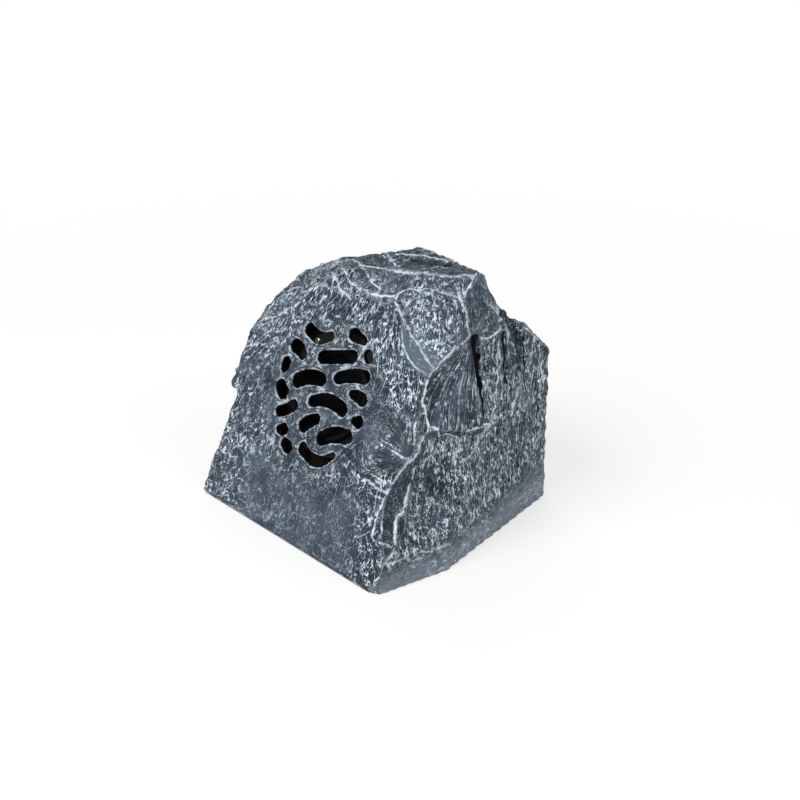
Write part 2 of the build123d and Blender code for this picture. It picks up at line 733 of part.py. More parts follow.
def make_block_screws():
    """Screws that hold the terminal block down."""
    length = BLOCK_HEIGHT + BLOCK_SCREW_BITE
    head = (BLOCK_HEAD_RADIUS, BLOCK_HEAD_HEIGHT, True)
    return screws(BLOCK_SCREW_PLACES, length, BLOCK_TOP, BLOCK_SCREW_RADIUS, *head)


def make_base_plate():
    """Plate that closes the boulder, recessed above its rim."""
    plate = plug(RIM_WALL + PLATE_CLEARANCE, PLATE_RECESS, PLATE_TOP)
    plate -= studs(BOSS_PLACES, SCREW_RADIUS + SCREW_CLEARANCE, PLATE_RECESS, PLATE_TOP)
    sink = PLATE_RECESS + SCREW_HEAD_HEIGHT
    plate -= studs(BOSS_PLACES, SCREW_HEAD_RADIUS + SCREW_CLEARANCE, PLATE_RECESS, sink)
    return plate - studs(BLOCK_SCREW_PLACES, BLOCK_SCREW_RADIUS, PLATE_TOP - BLOCK_SCREW_BITE, PLATE_TOP)


def make_base_gasket():
    """Sealing ring between plate and seat, with an eye round each screw."""
    band = plug(RIM_WALL + PLATE_CLEARANCE, PLATE_TOP, SEAT_HEIGHT) - plug(WALL, PLATE_TOP, SEAT_HEIGHT)
    eyes = Part() + studs(BOSS_PLACES, BOSS_RADIUS, PLATE_TOP, SEAT_HEIGHT)
    band += eyes & plug(RIM_WALL + PLATE_CLEARANCE, PLATE_TOP, SEAT_HEIGHT)
    return band - studs(BOSS_PLACES, SCREW_RADIUS + SCREW_CLEARANCE, PLATE_TOP, SEAT_HEIGHT)


def make_base_screws():
    """Screws up through the plate into the inserts."""
    seat = PLATE_RECESS + SCREW_HEAD_HEIGHT
    head = (SCREW_HEAD_RADIUS, SCREW_HEAD_HEIGHT, False)
    return screws(BOSS_PLACES, BASE_SCREW_LENGTH, seat, SCREW_RADIUS, *head)


def make_threaded_inserts():
    """Brass inserts in the boulder's bosses."""
    sleeve = ring(INSERT_RADIUS, SCREW_RADIUS + SCREW_CLEARANCE / 3, SEAT_HEIGHT, SEAT_HEIGHT + INSERT_LENGTH)
    return [Pos(x, y, 0) * sleeve for x, y in BOSS_PLACES]


def hexagon(foot, top):
    """Hexagonal block on the gland's axis."""
    return extrude(Pos(0, 0, foot) * RegularPolygon(GLAND_HEX, 6), top - foot)


def make_gland_body():
    """Threaded tube with a hexagonal flange that seats in the well."""
    tube = ring(GLAND_RADIUS, 0, -WELL_FLOOR - GLAND_TAIL, GLAND_FLANGE + GLAND_NECK)
    tube += hexagon(0, GLAND_FLANGE)
    return tube - ring(GLAND_BORE, 0, -WELL_FLOOR - GLAND_TAIL, GLAND_FLANGE + GLAND_NECK)


def make_gland_seal():
    """Rubber sleeve that grips the cable."""
    top = GLAND_FLANGE + GLAND_NECK
    return ring(GLAND_BORE, CABLE_RADIUS, top - SEAL_LENGTH, top)


def make_gland_dome_nut():
    """Outer nut over the neck."""
    lip = GLAND_FLANGE + GLAND_NECK
    nut = hexagon(GLAND_FLANGE, lip + DOME_LIP) - ring(GLAND_RADIUS, 0, GLAND_FLANGE, lip)
    return nut - ring(DOME_MOUTH, 0, lip, lip + DOME_LIP)


def make_gland_lock_nut():
    """Inner nut that draws the flange against the well."""
    nut = hexagon(-WELL_FLOOR - LOCK_NUT_HEIGHT, -WELL_FLOOR)
    return nut - ring(GLAND_RADIUS, 0, -WELL_FLOOR - LOCK_NUT_HEIGHT, -WELL_FLOOR)


GROUND = Plane.XY
GLAND_PLANE = Plane(GLAND_PLACE)

PARTS = {
    "rock_shell": (GROUND, make_rock_shell()),
    "baffle_board": (DRIVER_PLANE, make_baffle_board()),
    "baffle_screws": (DRIVER_PLANE, make_baffle_screws()),
    "driver_gasket": (DRIVER_PLANE, make_driver_gasket()),
    "driver_screws": (DRIVER_PLANE, make_driver_screws()),
    "basket": (DRIVER_PLANE, make_basket()),
    "surround": (DRIVER_PLANE, make_surround()),
    "cone": (DRIVER_PLANE, make_cone()),
    "dust_cap": (DRIVER_PLANE, make_dust_cap()),
    "spider": (DRIVER_PLANE, make_spider()),
    "voice_coil": (DRIVER_PLANE, make_voice_coil()),
    "top_plate": (DRIVER_PLANE, make_top_plate()),
    "magnet": (DRIVER_PLANE, make_magnet()),
    "yoke": (DRIVER_PLANE, make_yoke()),
    "terminal_strip": (DRIVER_PLANE, make_terminal_strip()),
    "terminal_tags": (DRIVER_PLANE, make_terminal_tags()),
    "positive_lead": (GROUND, make_lead(1)),
    "negative_lead": (GROUND, make_lead(-1)),
    "terminal_block": (GROUND, make_terminal_block()),
    "block_screws": (GROUND, make_block_screws()),
    "base_plate": (GROUND, make_base_plate()),
    "base_gasket": (GROUND, make_base_gasket()),
    "base_screws": (GROUND, make_base_screws()),
    "threaded_inserts": (GROUND, make_threaded_inserts()),
    "gland_body": (GLAND_PLANE, make_gland_body()),
    "gland_seal": (GLAND_PLANE, make_gland_seal()),
    "gland_dome_nut": (GLAND_PLANE, make_gland_dome_nut()),
    "gland_lock_nut": (GLAND_PLANE, make_gland_lock_nut()),
}

os.makedirs("parts", exist_ok=True)
for name, (plane, shape) in PARTS.items():
    solids = shape if isinstance(shape, list) else shape.solids()
    placed = [plane * solid for solid in solids]
    export_step(Compound(children=placed) if len(placed) > 1 else placed[0], f"parts/{name}.step")
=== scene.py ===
"""Looks of a rock shaped garden loudspeaker.

The boulder's cast skin is carved from its solid and dry brushed by height. The driver behind the
grille, the foot that closes the boulder and the cable gland are dressed piece by piece.
"""

import json
import logging
import math
from dataclasses import dataclass, field
from enum import Enum
from functools import cache, reduce

import bmesh
import bpy
import numpy as np
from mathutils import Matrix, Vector
from mathutils.bvhtree import BVHTree
from mathutils.kdtree import KDTree


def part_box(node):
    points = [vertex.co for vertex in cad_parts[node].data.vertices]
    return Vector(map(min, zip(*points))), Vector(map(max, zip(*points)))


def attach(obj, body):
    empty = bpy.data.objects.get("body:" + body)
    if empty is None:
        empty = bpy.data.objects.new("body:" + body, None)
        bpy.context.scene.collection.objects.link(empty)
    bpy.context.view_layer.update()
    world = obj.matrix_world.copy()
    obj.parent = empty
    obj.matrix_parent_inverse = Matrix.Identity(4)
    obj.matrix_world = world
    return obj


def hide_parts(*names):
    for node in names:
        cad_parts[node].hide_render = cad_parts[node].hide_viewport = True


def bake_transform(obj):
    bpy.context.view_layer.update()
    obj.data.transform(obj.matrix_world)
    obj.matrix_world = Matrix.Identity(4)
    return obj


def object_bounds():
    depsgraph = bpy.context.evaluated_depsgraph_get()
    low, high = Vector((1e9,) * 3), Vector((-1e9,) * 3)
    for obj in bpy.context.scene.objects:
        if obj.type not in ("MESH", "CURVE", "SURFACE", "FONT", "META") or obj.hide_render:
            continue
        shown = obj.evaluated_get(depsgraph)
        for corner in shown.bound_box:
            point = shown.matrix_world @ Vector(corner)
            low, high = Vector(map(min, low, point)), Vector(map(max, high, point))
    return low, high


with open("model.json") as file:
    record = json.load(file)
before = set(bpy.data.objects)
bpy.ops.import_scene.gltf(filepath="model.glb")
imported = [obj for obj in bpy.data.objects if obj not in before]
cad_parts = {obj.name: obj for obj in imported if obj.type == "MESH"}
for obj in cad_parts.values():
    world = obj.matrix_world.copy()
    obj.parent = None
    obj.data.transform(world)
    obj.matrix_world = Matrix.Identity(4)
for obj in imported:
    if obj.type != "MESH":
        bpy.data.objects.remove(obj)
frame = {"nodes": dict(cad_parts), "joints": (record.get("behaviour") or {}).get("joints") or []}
CAD_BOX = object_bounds()

LOG = logging.getLogger("garden_speaker")
MM = 0.001
CABINET = "cabinet"

Socket = bpy.types.NodeSocket
Colour = tuple[float, float, float]
Point = tuple[float, float, float]
Span = tuple[float, float]


def smoothstep(low: float, high: float, values: np.ndarray) -> np.ndarray:
    """Eases values from 0 at low to 1 at high."""
    share = np.clip((values - low) / (high - low), 0, 1)
    return share * share * (3 - 2 * share)


def painted(colour: Colour) -> tuple[float, float, float, float]:
    """Adds full opacity to a colour."""
    return (*colour, 1.0)


class Value:
    """An output of a material's nodes, which joins in sums as a plain number does."""

    def __init__(self, board: "NodeBoard", socket: Socket) -> None:
        """Keeps an output and the nodes that it belongs to."""
        self.board = board
        self.socket = socket

    def joined(self, operation: str, other: "Feed") -> "Value":
        """Works a sum with another value."""
        return self.board.value("ShaderNodeMath", {0: self, 1: other}, operation=operation)

    def __add__(self, other: "Feed") -> "Value":
        """Adds a value."""
        return self.joined("ADD", other)

    def __sub__(self, other: "Feed") -> "Value":
        """Takes a value away."""
        return self.joined("SUBTRACT", other)

    def __mul__(self, other: "Feed") -> "Value":
        """Multiplies by a value."""
        return self.joined("MULTIPLY", other)

    def larger(self, other: "Feed") -> "Value":
        """Takes the larger of two values."""
        return self.joined("MAXIMUM", other)

    def away_from(self, middle: float) -> "Value":
        """Gives how far the value lies from a middle, either way."""
        return (self - middle).joined("ABSOLUTE", 0.0)

    def ramp(self, low: float, high: float, start: float, end: float, kind: str = "LINEAR") -> "Value":
        """Takes the value from start at low to end at high, and holds it beyond them."""
        feeds = {"Value": self, "From Min": low, "From Max": high, "To Min": start, "To Max": end}
        return self.board.value("ShaderNodeMapRange", feeds, interpolation_type=kind)

    def ease(self, low: float, high: float, start: float = 0, end: float = 1) -> "Value":
        """Takes the value from start at low to end at high, softly at both ends."""
        return self.ramp(low, high, start, end, "SMOOTHSTEP")

    def stretched(self, scale: Point) -> "Value":
        """Scales places by axis."""
        return self.board.value("ShaderNodeVectorMath", {0: self, 1: scale}, operation="MULTIPLY")

    def moved(self, by: "Feed") -> "Value":
        """Shifts places."""
        return self.board.value("ShaderNodeVectorMath", {0: self, 1: by}, operation="ADD")

    def scaled(self, by: "Feed") -> "Value":
        """Scales places alike on all axes."""
        return self.board.value("ShaderNodeVectorMath", {0: self, 3: by}, operation="SCALE")

    def length(self) -> "Value":
        """Gives how long a vector is."""
        return self.board.value("ShaderNodeVectorMath", {0: self}, "Value", operation="LENGTH")


Feed = Value | float | tuple[float, ...]


class NodeBoard:
    """A material's node tree, with short ways to add its nodes and join them."""

    def __init__(self, name: str) -> None:
        """Starts a material with a surface shader and places in millimetres.

        Args:
            name: The finish's name.
        """
        self.material = bpy.data.materials.new(name)
        self.material.use_nodes = True
        self.tree = self.material.node_tree
        self.surface = self.tree.nodes["Principled BSDF"]
        self.place = self.value("ShaderNodeTexCoord", {}, "Object").stretched((1 / MM,) * 3)

    def feed(self, socket: Socket, value: Feed) -> None:
        """Joins a socket to an output, or sets it to a plain value.

        Args:
            socket: The input to fill.
            value: An output or a plain value.
        """
        if isinstance(value, Value):
            self.tree.links.new(value.socket, socket)
        else:
            socket.default_value = value

    def node(self, kind: str, feeds: dict[int | str, Feed], **settings: object) -> bpy.types.Node:
        """Adds a node.

        Args:
            kind: The node's type.
            feeds: What goes into its inputs.
            **settings: Its other settings.

        Returns:
            The node.
        """
        made = self.tree.nodes.new(kind)
        for key, value in settings.items():
            setattr(made, key, value)
        for key, value in feeds.items():
            self.feed(made.inputs[key], value)
        return made

    def value(
        self, kind: str, feeds: dict[int | str, Feed], output: int | str = 0, **settings: object
    ) -> Value:
        """Adds a node and gives one of its outputs."""
        return Value(self, self.node(kind, feeds, **settings).outputs[output])

    def noise(self, places: Feed, spacing: float, detail: float = 2, roughness: float = 0.5) -> Value:
        """Adds noise around 0.5, with a spacing in millimetres and finer layers of some roughness."""
        feeds = {"Vector": places, "Scale": 1 / spacing, "Detail": detail, "Roughness": roughness}
        return self.value("ShaderNodeTexNoise", feeds)

    def drift(self, places: Feed, spacing: float, detail: float) -> Value:
        """Adds noise with a value of its own for each axis."""
        feeds = {"Vector": places, "Scale": 1 / spacing, "Detail": detail}
        return self.value("ShaderNodeTexNoise", feeds, 1)

    def reading(self, name: str, output: str = "Fac") -> Value:
        """Reads what is kept on the mesh's points."""
        return self.value("ShaderNodeAttribute", {}, output, attribute_name=name)

    def mixed(self, share: Feed, first: Feed, second: Feed) -> Value:
        """Mixes two colours, with a share of the second one."""
        return self.value("ShaderNodeMix", {0: share, 6: first, 7: second}, 2, data_type="RGBA")

    def raised(self, height: Feed, rise: float) -> None:
        """Gives the surface a fine relief, in which a height of 1 stands for a rise in millimetres."""
        feeds = {"Strength": 1.0, "Distance": rise * MM, "Height": height}
        self.feed(self.surface.inputs["Normal"], self.value("ShaderNodeBump", feeds))

    def finish(self, colour: Feed, roughness: Feed, **fixed: float) -> bpy.types.Material:
        """Fills the surface shader.

        Args:
            colour: The base colour.
            roughness: The roughness.
            **fixed: Values that are the same all over, by socket name with _ for a space.

        Returns:
            The material.
        """
        self.feed(self.surface.inputs["Base Color"], colour)
        self.feed(self.surface.inputs["Roughness"], roughness)
        for name, value in fixed.items():
            self.surface.inputs[name.replace("_", " ")].default_value = value
        return self.material


class Grain(Enum):
    """What a small part's surface is like."""

    MOULDED = "fine even texture of a mould"
    CAST = "pitted speckle"
    BRUSHED = "drawn or turned streaks"
    FIBROUS = "matted fibres"
    WOVEN = "crossed threads"
    FOAMED = "open cells"


@dataclass(frozen=True)
class PartFinish:
    """Finish of a part inside or under the boulder, with lengths in millimetres."""

    name: str
    colour: Colour
    shade: Colour
    roughness: float
    grain: Grain
    spacing: float
    rise: float
    metal: float = 0.0
    specular: float = 0.5

    def pattern(self, board: NodeBoard) -> Value:
        """Draws the grain.

        Args:
            board: The material's nodes.

        Returns:
            A value from 0 to 1.
        """
        place = board.place
        if self.grain is Grain.BRUSHED:
            return board.noise(place.stretched((1, 1, 0.06)), self.spacing, 3, 0.6)
        if self.grain is Grain.FIBROUS:
            bent = place.moved(board.drift(place, self.spacing * 6, 1))
            first = board.noise(bent.stretched((1, 0.16, 1)), self.spacing)
            return first.larger(board.noise(bent.stretched((0.16, 1, 0.5)), self.spacing))
        if self.grain is Grain.WOVEN:
            feeds = {"Vector": place, "Scale": 0.314 / self.spacing, "Distortion": 0.4}
            first, second = (board.value("ShaderNodeTexWave", feeds, 1, bands_direction=way) for way in "XY")
            return first.larger(second)
        if self.grain is Grain.FOAMED:
            return board.value("ShaderNodeTexVoronoi", {"Vector": place, "Scale": 1 / self.spacing})
        return board.noise(place, self.spacing, 6 if self.grain is Grain.CAST else 3, 0.6)

    @cache
    def material(self) -> bpy.types.Material:
        """Builds the finish once.

        Returns:
            The material.
        """
        board = NodeBoard(self.name)
        pattern = self.pattern(board)
        cloud = board.noise(board.place, self.spacing * 14, 3)
        colour = board.mixed((pattern + cloud).ease(0.7, 1.35), painted(self.shade), painted(self.colour))
        smoothest, dullest = max(0.05, self.roughness - 0.08), min(1, self.roughness + 0.08)
        roughness = cloud.ease(0.3, 0.7, smoothest, dullest)
        board.raised(pattern, self.rise)
        return board.finish(colour, roughness, Metallic=self.metal, Specular_IOR_Level=self.specular)


@dataclass(frozen=True)
class Crack:
    """A wedge of painted shade along a crack in the right side, from its wide top to its point, in
    millimetres.
    """

    top: tuple[float, float]
    foot: tuple[float, float]
    half: float
    point_share: float = 0.15

    def share(self, along: Value, height: Value) -> Value:
        """Draws the crack's painted shade.

        Args:
            along: Places along the side.
            height: Places up the side.

        Returns:
            1 in the crack, 0 beside it.
        """
        (start, high), (end, low) = self.top, self.foot
        off = (along + height.ramp(high, low, -start, -end)).away_from(0)
        past = off + height.ramp(high, low, -self.half, -self.point_share * self.half)
        ends = height.ease(high + 3, high) * height.ease(low - 4, low + 4)
        return past.ease(0.5, -0.5) * ends


@dataclass(frozen=True)
class RockPaint:
    """Colours and marks of the dark slate coat, which pale paint is dry brushed over, in millimetres; hollow
    and depths are near black painted shade.
    """

    name: str = "rock_paint"
    # Painted shade for the cells, the shaded side of the lines, creases, cracks and pits.
    hollow: Colour = (0.004, 0.006, 0.010)
    slate: Colour = (0.018, 0.026, 0.040)
    stone: Colour = (0.080, 0.107, 0.143)
    pale: Colour = (0.73, 0.85, 0.96)
    # Painted shade deeper into the openings and on the inside near the grille.
    depths: Colour = (0.004, 0.004, 0.006)
    resin: Colour = (0.36, 0.30, 0.23)
    vein_spacing: float = 1.9
    vein_width: float = 0.068
    ridge_spacing: float = 6.5
    ridge_width: float = 0.024
    patch_spacing: float = 15.0
    break_spacing: float = 5.5
    speck_spacing: float = 1.6
    grit_spacing: float = 1.2
    edge_spacing: float = 6.0
    cloud_spacing: float = 30.0
    veil_spacing: float = 3.0
    band_spacing: float = 10.0
    lump_spacing: float = 2.6
    wear: float = 0.48
    wear_reach: float = 7.0
    patch_range: Span = (0.36, 0.58)
    break_range: Span = (0.40, 0.57)
    speck_range: Span = (0.55, 0.70)
    edge_range: Span = (0.40, 0.62)
    tone_range: Span = (0.50, 1.10)
    roughness: Span = (0.58, 0.80)
    edge_half_widths: Span = (0.2, 1.8)
    web_edge: float = 0.5
    crease_reach: float = 1.9
    shadow_way: Point = (0.5, 0.5, -0.4)
    # Wedges of painted shade laid over the cracks of the right side.
    cracks: tuple[Crack, ...] = (
        Crack((13.5, 227), (13, 136), 4.4),
        Crack((50, 222), (57, 130), 2.0),
        Crack((87, 205), (85, 140), 1.8),
    )
    crack_shift: float = 2.5
    crack_start: Span = (85, 95)
    crack_wobble: float = 5.0
    wobble_spacing: float = 11.0
    rise: float = 1.5
    specular: float = 0.06


class RockCoat(NodeBoard):
    """The boulder's paint, with painted shade in its hollows, laid layer by layer from what is kept on the
    mesh's points.
    """

    def __init__(self, paint: RockPaint) -> None:
        """Reads the mesh and starts the marks that several layers share.

        Args:
            paint: The colours and marks.
        """
        super().__init__(paint.name)
        self.paint = paint
        self.flow = self.reading("flow", "Vector")
        self.gain, self.pit = self.reading("gain"), self.reading("pit")
        self.patches = self.noise(self.place, paint.patch_spacing, 3).ease(*paint.patch_range)
        self.broken = self.noise(self.place, paint.break_spacing, 3).ease(*paint.break_range)
        self.worn = self.reading("rim").ease(paint.wear_reach, 1) * (self.gain * paint.wear)
        self.dense = self.reading("dense").larger(self.worn * 0.9)
        self.clefts = self.cracks()

    def lines(
        self, flow: Value, spacing: float, width: float, full: Value | None = None
    ) -> tuple[Value, Value]:
        """Draws crinkled lines that run with the rock.

        Args:
            flow: Places measured across and along the run of the rock, in millimetres.
            spacing: How far apart the lines are.
            width: Their width, as a share of the noise they follow.
            full: 1 where they are at their widest, 0 where they have run out.

        Returns:
            1 on a line, and 1 in the cells between the lines.
        """
        shift = self.drift(flow, spacing * 3.2, 1).scaled(self.reading("wander") * (spacing * 1.9))
        off = self.noise(flow.moved(shift), spacing, 1.0, 0.45).away_from(0.5)
        thinned = off if full is None else off + full.ramp(0, 1, width, 0)
        return thinned.ease(width, width * 0.65), off.ease(width * 1.1, width * 2.2)

    def distance(self, name: str) -> Value:
        """Reads how far off the nearest line of a kind is, in millimetres and finer than the mesh."""
        near = self.reading(f"{name}_way", "Vector").length()
        return near.larger(self.reading(name) - 1.5)

    def cracks(self) -> Value:
        """Paints shade into the cracks of the right side.

        Returns:
            1 in a crack, 0 elsewhere.
        """
        wobble = self.drift(self.place, self.paint.wobble_spacing, 2).scaled(self.paint.crack_wobble)
        parts = self.node("ShaderNodeSeparateXYZ", {0: self.place.moved(wobble)}).outputs
        across, along, height = (Value(self, part) for part in parts)
        along = along - self.paint.crack_shift
        shares = [crack.share(along, height) for crack in self.paint.cracks]
        return reduce(Value.larger, shares) * across.ease(*self.paint.crack_start)

    def edge(self) -> Value:
        """Draws the ragged pale lines along the ridges.

        Returns:
            1 on a line, 0 beside it.
        """
        paint = self.paint
        thin, thick = paint.edge_half_widths
        half = self.noise(self.place, paint.edge_spacing, 4, 0.7).ramp(*paint.edge_range, -thin, -thick)
        half = half + self.reading("grille") * -paint.web_edge
        line = (self.distance("rim") + half).ease(0.5, -0.4)
        kept = self.pit.larger(self.clefts).ease(0.1, 0.5, 1, 0)
        return line * self.gain * self.broken.ease(0, 1, 0.85, 1) * kept

    def marks(self, veins: Value, ridges: Value) -> Value:
        """Draws what the dry brush leaves between the ridges.

        Args:
            veins: The fine lines.
            ridges: The longer lines.

        Returns:
            How much pale paint there is.
        """
        brushed = veins * self.dense.ease(0, 0.7, 0.3, 1)
        longer = ridges * self.broken.ease(0, 1, 0.3, 1) * self.dense
        specks = self.noise(self.place, self.paint.speck_spacing).ease(*self.paint.speck_range)
        dusted = specks * self.patches.ease(0, 1, 0.08, 0.34)
        streaks = self.noise(self.flow, self.paint.veil_spacing, 3).ease(0.35, 0.65, 0.5, 1)
        pale = brushed.larger(longer).larger(dusted).larger(self.reading("veil") * streaks)
        return pale * self.pit.ease(0.1, 0.8, 1, 0.25)

    def ground(self, cells: Value, shadow: Value) -> Value:
        """Mixes the dark coat under the brush marks, with painted shade in the cells, on the shaded side of
        the lines, in creases, cracks and pits.

        Args:
            cells: The cells between the fine lines.
            shadow: The shaded side of the fine lines.

        Returns:
            The colour.
        """
        paint = self.paint
        bands = self.noise(self.flow, paint.band_spacing, 2, 0.6) * self.reading("wander").ease(1, 0.2)
        cloud = self.noise(self.place, paint.cloud_spacing, 5, 0.62)
        grit = self.noise(self.place, paint.grit_spacing)
        tone = cloud + self.reading("light") + (grit * 0.5 + bands)
        coat = self.mixed(tone.ease(*paint.tone_range), painted(paint.slate), painted(paint.stone))
        # Painted shade: the cells, the shaded side of the lines, creases, cracks and pits darken towards the
        # hollow colour.
        between = (cells * 0.5).larger(shadow) * self.dense
        crease_shade = self.distance("groove").ease(paint.crease_reach, 0.5) * 0.85
        deep = between.larger(self.clefts).larger(crease_shade).larger(self.pit)
        return self.mixed(deep, coat, painted(paint.hollow))

    def built(self) -> bpy.types.Material:
        """Lays all the layers.

        Returns:
            The material.
        """
        paint = self.paint
        strokes = self.patches.ease(0, 1, 0.45, 1) * self.broken.ease(0, 1, 0.15, 1)
        strokes = strokes.larger(self.worn) * self.dense.ramp(0, 1, 0.4, 1)
        fine = (paint.vein_spacing, paint.vein_width, strokes)
        veins, cells = self.lines(self.flow, *fine)
        shadow, _ = self.lines(self.flow.moved(paint.shadow_way), *fine)
        ridges, _ = self.lines(self.flow, paint.ridge_spacing, paint.ridge_width)
        # Pale paint is cleared from the cracks so that their painted shade shows.
        pale = self.edge().larger(self.marks(veins, ridges)) * self.clefts.ease(0, 0.6, 1, 0)
        colour = self.mixed(pale, self.ground(cells, shadow), painted(paint.pale))
        # Painted shade: near black deeper into the openings and inside near the grille.
        colour = self.mixed(self.reading("inner_shade").ease(0.05, 0.45), colour, painted(paint.depths))
        bare = self.reading("bare") + self.broken.ease(0, 1, -0.2, 0.2)
        colour = self.mixed(bare.ease(0.45, 0.6), colour, painted(paint.resin))
        relief = veins.larger(ridges) * self.dense.ease(0, 1, 0.1, 0.8)
        self.raised(relief + self.noise(self.place, paint.lump_spacing, 4, 0.6) * 0.5, paint.rise)
        return self.finish(colour, pale.ease(0, 1, *paint.roughness), Specular_IOR_Level=paint.specular)


@dataclass(frozen=True)
class GradientNoise:
    """Smooth seeded noise in space, from about -1 to 1, with its spacing in millimetres."""

    seed: int
    spacing: float
    layers: int = 2

    def layer(self, places: np.ndarray) -> np.ndarray:
        """Works out one layer.

        Args:
            places: Points, one row each, in cells.

        Returns:
            One value for each point.
        """
        source = np.random.default_rng(self.seed)
        order = source.permutation(256)
        slopes = source.normal(size=(256, 3))
        slopes /= np.linalg.norm(slopes, axis=1, keepdims=True)
        cell = np.floor(places).astype(int)
        inside = places - cell
        eased = inside**3 * (inside * (inside * 6 - 15) + 10)
        total = np.zeros(len(places))
        for corner in np.ndindex(2, 2, 2):
            spot = (cell + corner) & 255
            pick = order[(order[(order[spot[:, 0]] + spot[:, 1]) & 255] + spot[:, 2]) & 255]
            share = np.prod(np.where(np.array(corner, bool), eased, 1 - eased), axis=1)
            total += share * np.einsum("ij,ij->i", slopes[pick], inside - np.array(corner))
        return np.clip(total * 1.5, -1, 1)

    def over(self, places: np.ndarray) -> np.ndarray:
        """Adds up the layers, each half as coarse and half as strong as the one before.

        Args:
            places: Points in millimetres, one row each.

        Returns:
            One value for each point.
        """
        cells = places / self.spacing
        total = sum(self.layer(cells * 2**i + 31 * i) / 2**i for i in range(self.layers))
        return total / (2 - 2 ** (1 - self.layers))


class MeshSurface:
    """A mesh's points and edges as arrays, for smoothing and reading bends."""

    def __init__(self, mesh: bpy.types.Mesh) -> None:
        """Reads a mesh.

        Args:
            mesh: The mesh, in metres.
        """
        self.mesh = mesh
        self.count = len(mesh.vertices)
        edges = np.zeros(len(mesh.edges) * 2, np.int32)
        mesh.edges.foreach_get("vertices", edges)
        self.ends = edges.reshape(-1, 2)
        self.degree = np.maximum(np.bincount(edges, minlength=self.count), 1)

    def places(self) -> np.ndarray:
        """Gives the points.

        Returns:
            One row for each point, in millimetres.
        """
        found = np.zeros(self.count * 3, np.float32)
        self.mesh.vertices.foreach_get("co", found)
        return found.reshape(-1, 3).astype(float) / MM

    def move_to(self, places: np.ndarray) -> None:
        """Moves the points to places in millimetres."""
        self.mesh.vertices.foreach_set("co", (places * MM).astype(np.float32).ravel())
        self.mesh.update()

    def normals(self) -> np.ndarray:
        """Gives the way that each point faces.

        Returns:
            One row for each point.
        """
        found = np.zeros(self.count * 3, np.float32)
        self.mesh.vertex_normals.foreach_get("vector", found)
        return found.reshape(-1, 3).astype(float)

    def smoothed(self, values: np.ndarray, rounds: int) -> np.ndarray:
        """Averages values with their neighbours.

        Args:
            values: One row for each point.
            rounds: How often this is done.

        Returns:
            The averaged values.
        """
        first, second = self.ends.T
        for _ in range(rounds):
            total = np.empty_like(values)
            for i in range(values.shape[1]):
                total[:, i] = np.bincount(first, values[second, i], self.count)
                total[:, i] += np.bincount(second, values[first, i], self.count)
            values = (values + total / self.degree[:, None]) / 2
        return values

    def bend(self, rounds: int) -> np.ndarray:
        """Gives how far each point stands over its neighbourhood, in millimetres."""
        places = self.places()
        return np.einsum("ij,ij->i", places - self.smoothed(places, rounds), self.normals())

    def keep(self, name: str, values: np.ndarray) -> None:
        """Keeps a value, or a row of three, on each point for the paint to read.

        Args:
            name: What the paint reads it as.
            values: One value or one row for each point.
        """
        kind, key = ("FLOAT", "value") if values.ndim == 1 else ("FLOAT_VECTOR", "vector")
        kept = self.mesh.attributes.new(name, kind, "POINT")
        kept.data.foreach_set(key, values.astype(np.float32).ravel())


def way_to(azimuth: float, elevation: float) -> Vector:
    """Gives the way from the object to a place round it, by angles in degrees."""
    turn, lift = math.radians(azimuth), math.radians(elevation)
    return Vector((math.sin(turn) * math.cos(lift), -math.cos(turn) * math.cos(lift), math.sin(lift)))


@dataclass(frozen=True)
class Viewpoint:
    """Where the photograph was taken from."""

    target: Point = (0.00634, 0.02346, 0.110)
    azimuth: float = 45.65
    elevation: float = 28.0
    distance: float = 1.5
    view_angle: float = 31.65
    picture_side: int = 800

    def eye(self) -> Vector:
        """Gives the camera's place in metres."""
        return Vector(self.target) + way_to(self.azimuth, self.elevation) * self.distance

    def seen(self, pixel: tuple[int, int], solid: BVHTree) -> Vector | None:
        """Finds what a pixel of the photograph shows.

        Args:
            pixel: How far right and how far down it is, in a picture of 800 by 800.
            solid: The boulder, in millimetres.

        Returns:
            The place on the boulder in millimetres, or None beside it.
        """
        back = way_to(self.azimuth, self.elevation)
        right = way_to(self.azimuth + 90, 0)
        half = self.picture_side / 2
        spread = math.tan(math.radians(self.view_angle) / 2) / half
        across, over = (pixel[0] - half) * spread, (half - pixel[1]) * spread
        return solid.ray_cast(self.eye() / MM, right * across + back.cross(right) * over - back)[0]


@dataclass(frozen=True)
class Seam:
    """A line that shows on the rock, picked in the photograph, with its strength or its width."""

    strength: float
    pixels: tuple[tuple[int, int], ...]

    def pieces(self, solid: BVHTree) -> list[tuple[Vector, Vector, float]]:
        """Lays the line on the boulder.

        Args:
            solid: The boulder, in millimetres.

        Returns:
            Start, end and strength of each straight piece, in millimetres.
        """
        found = [Viewpoint().seen(pixel, solid) for pixel in self.pixels]
        points = [place for place in found if place is not None]
        return [(first, second, self.strength) for first, second in zip(points, points[1:])]


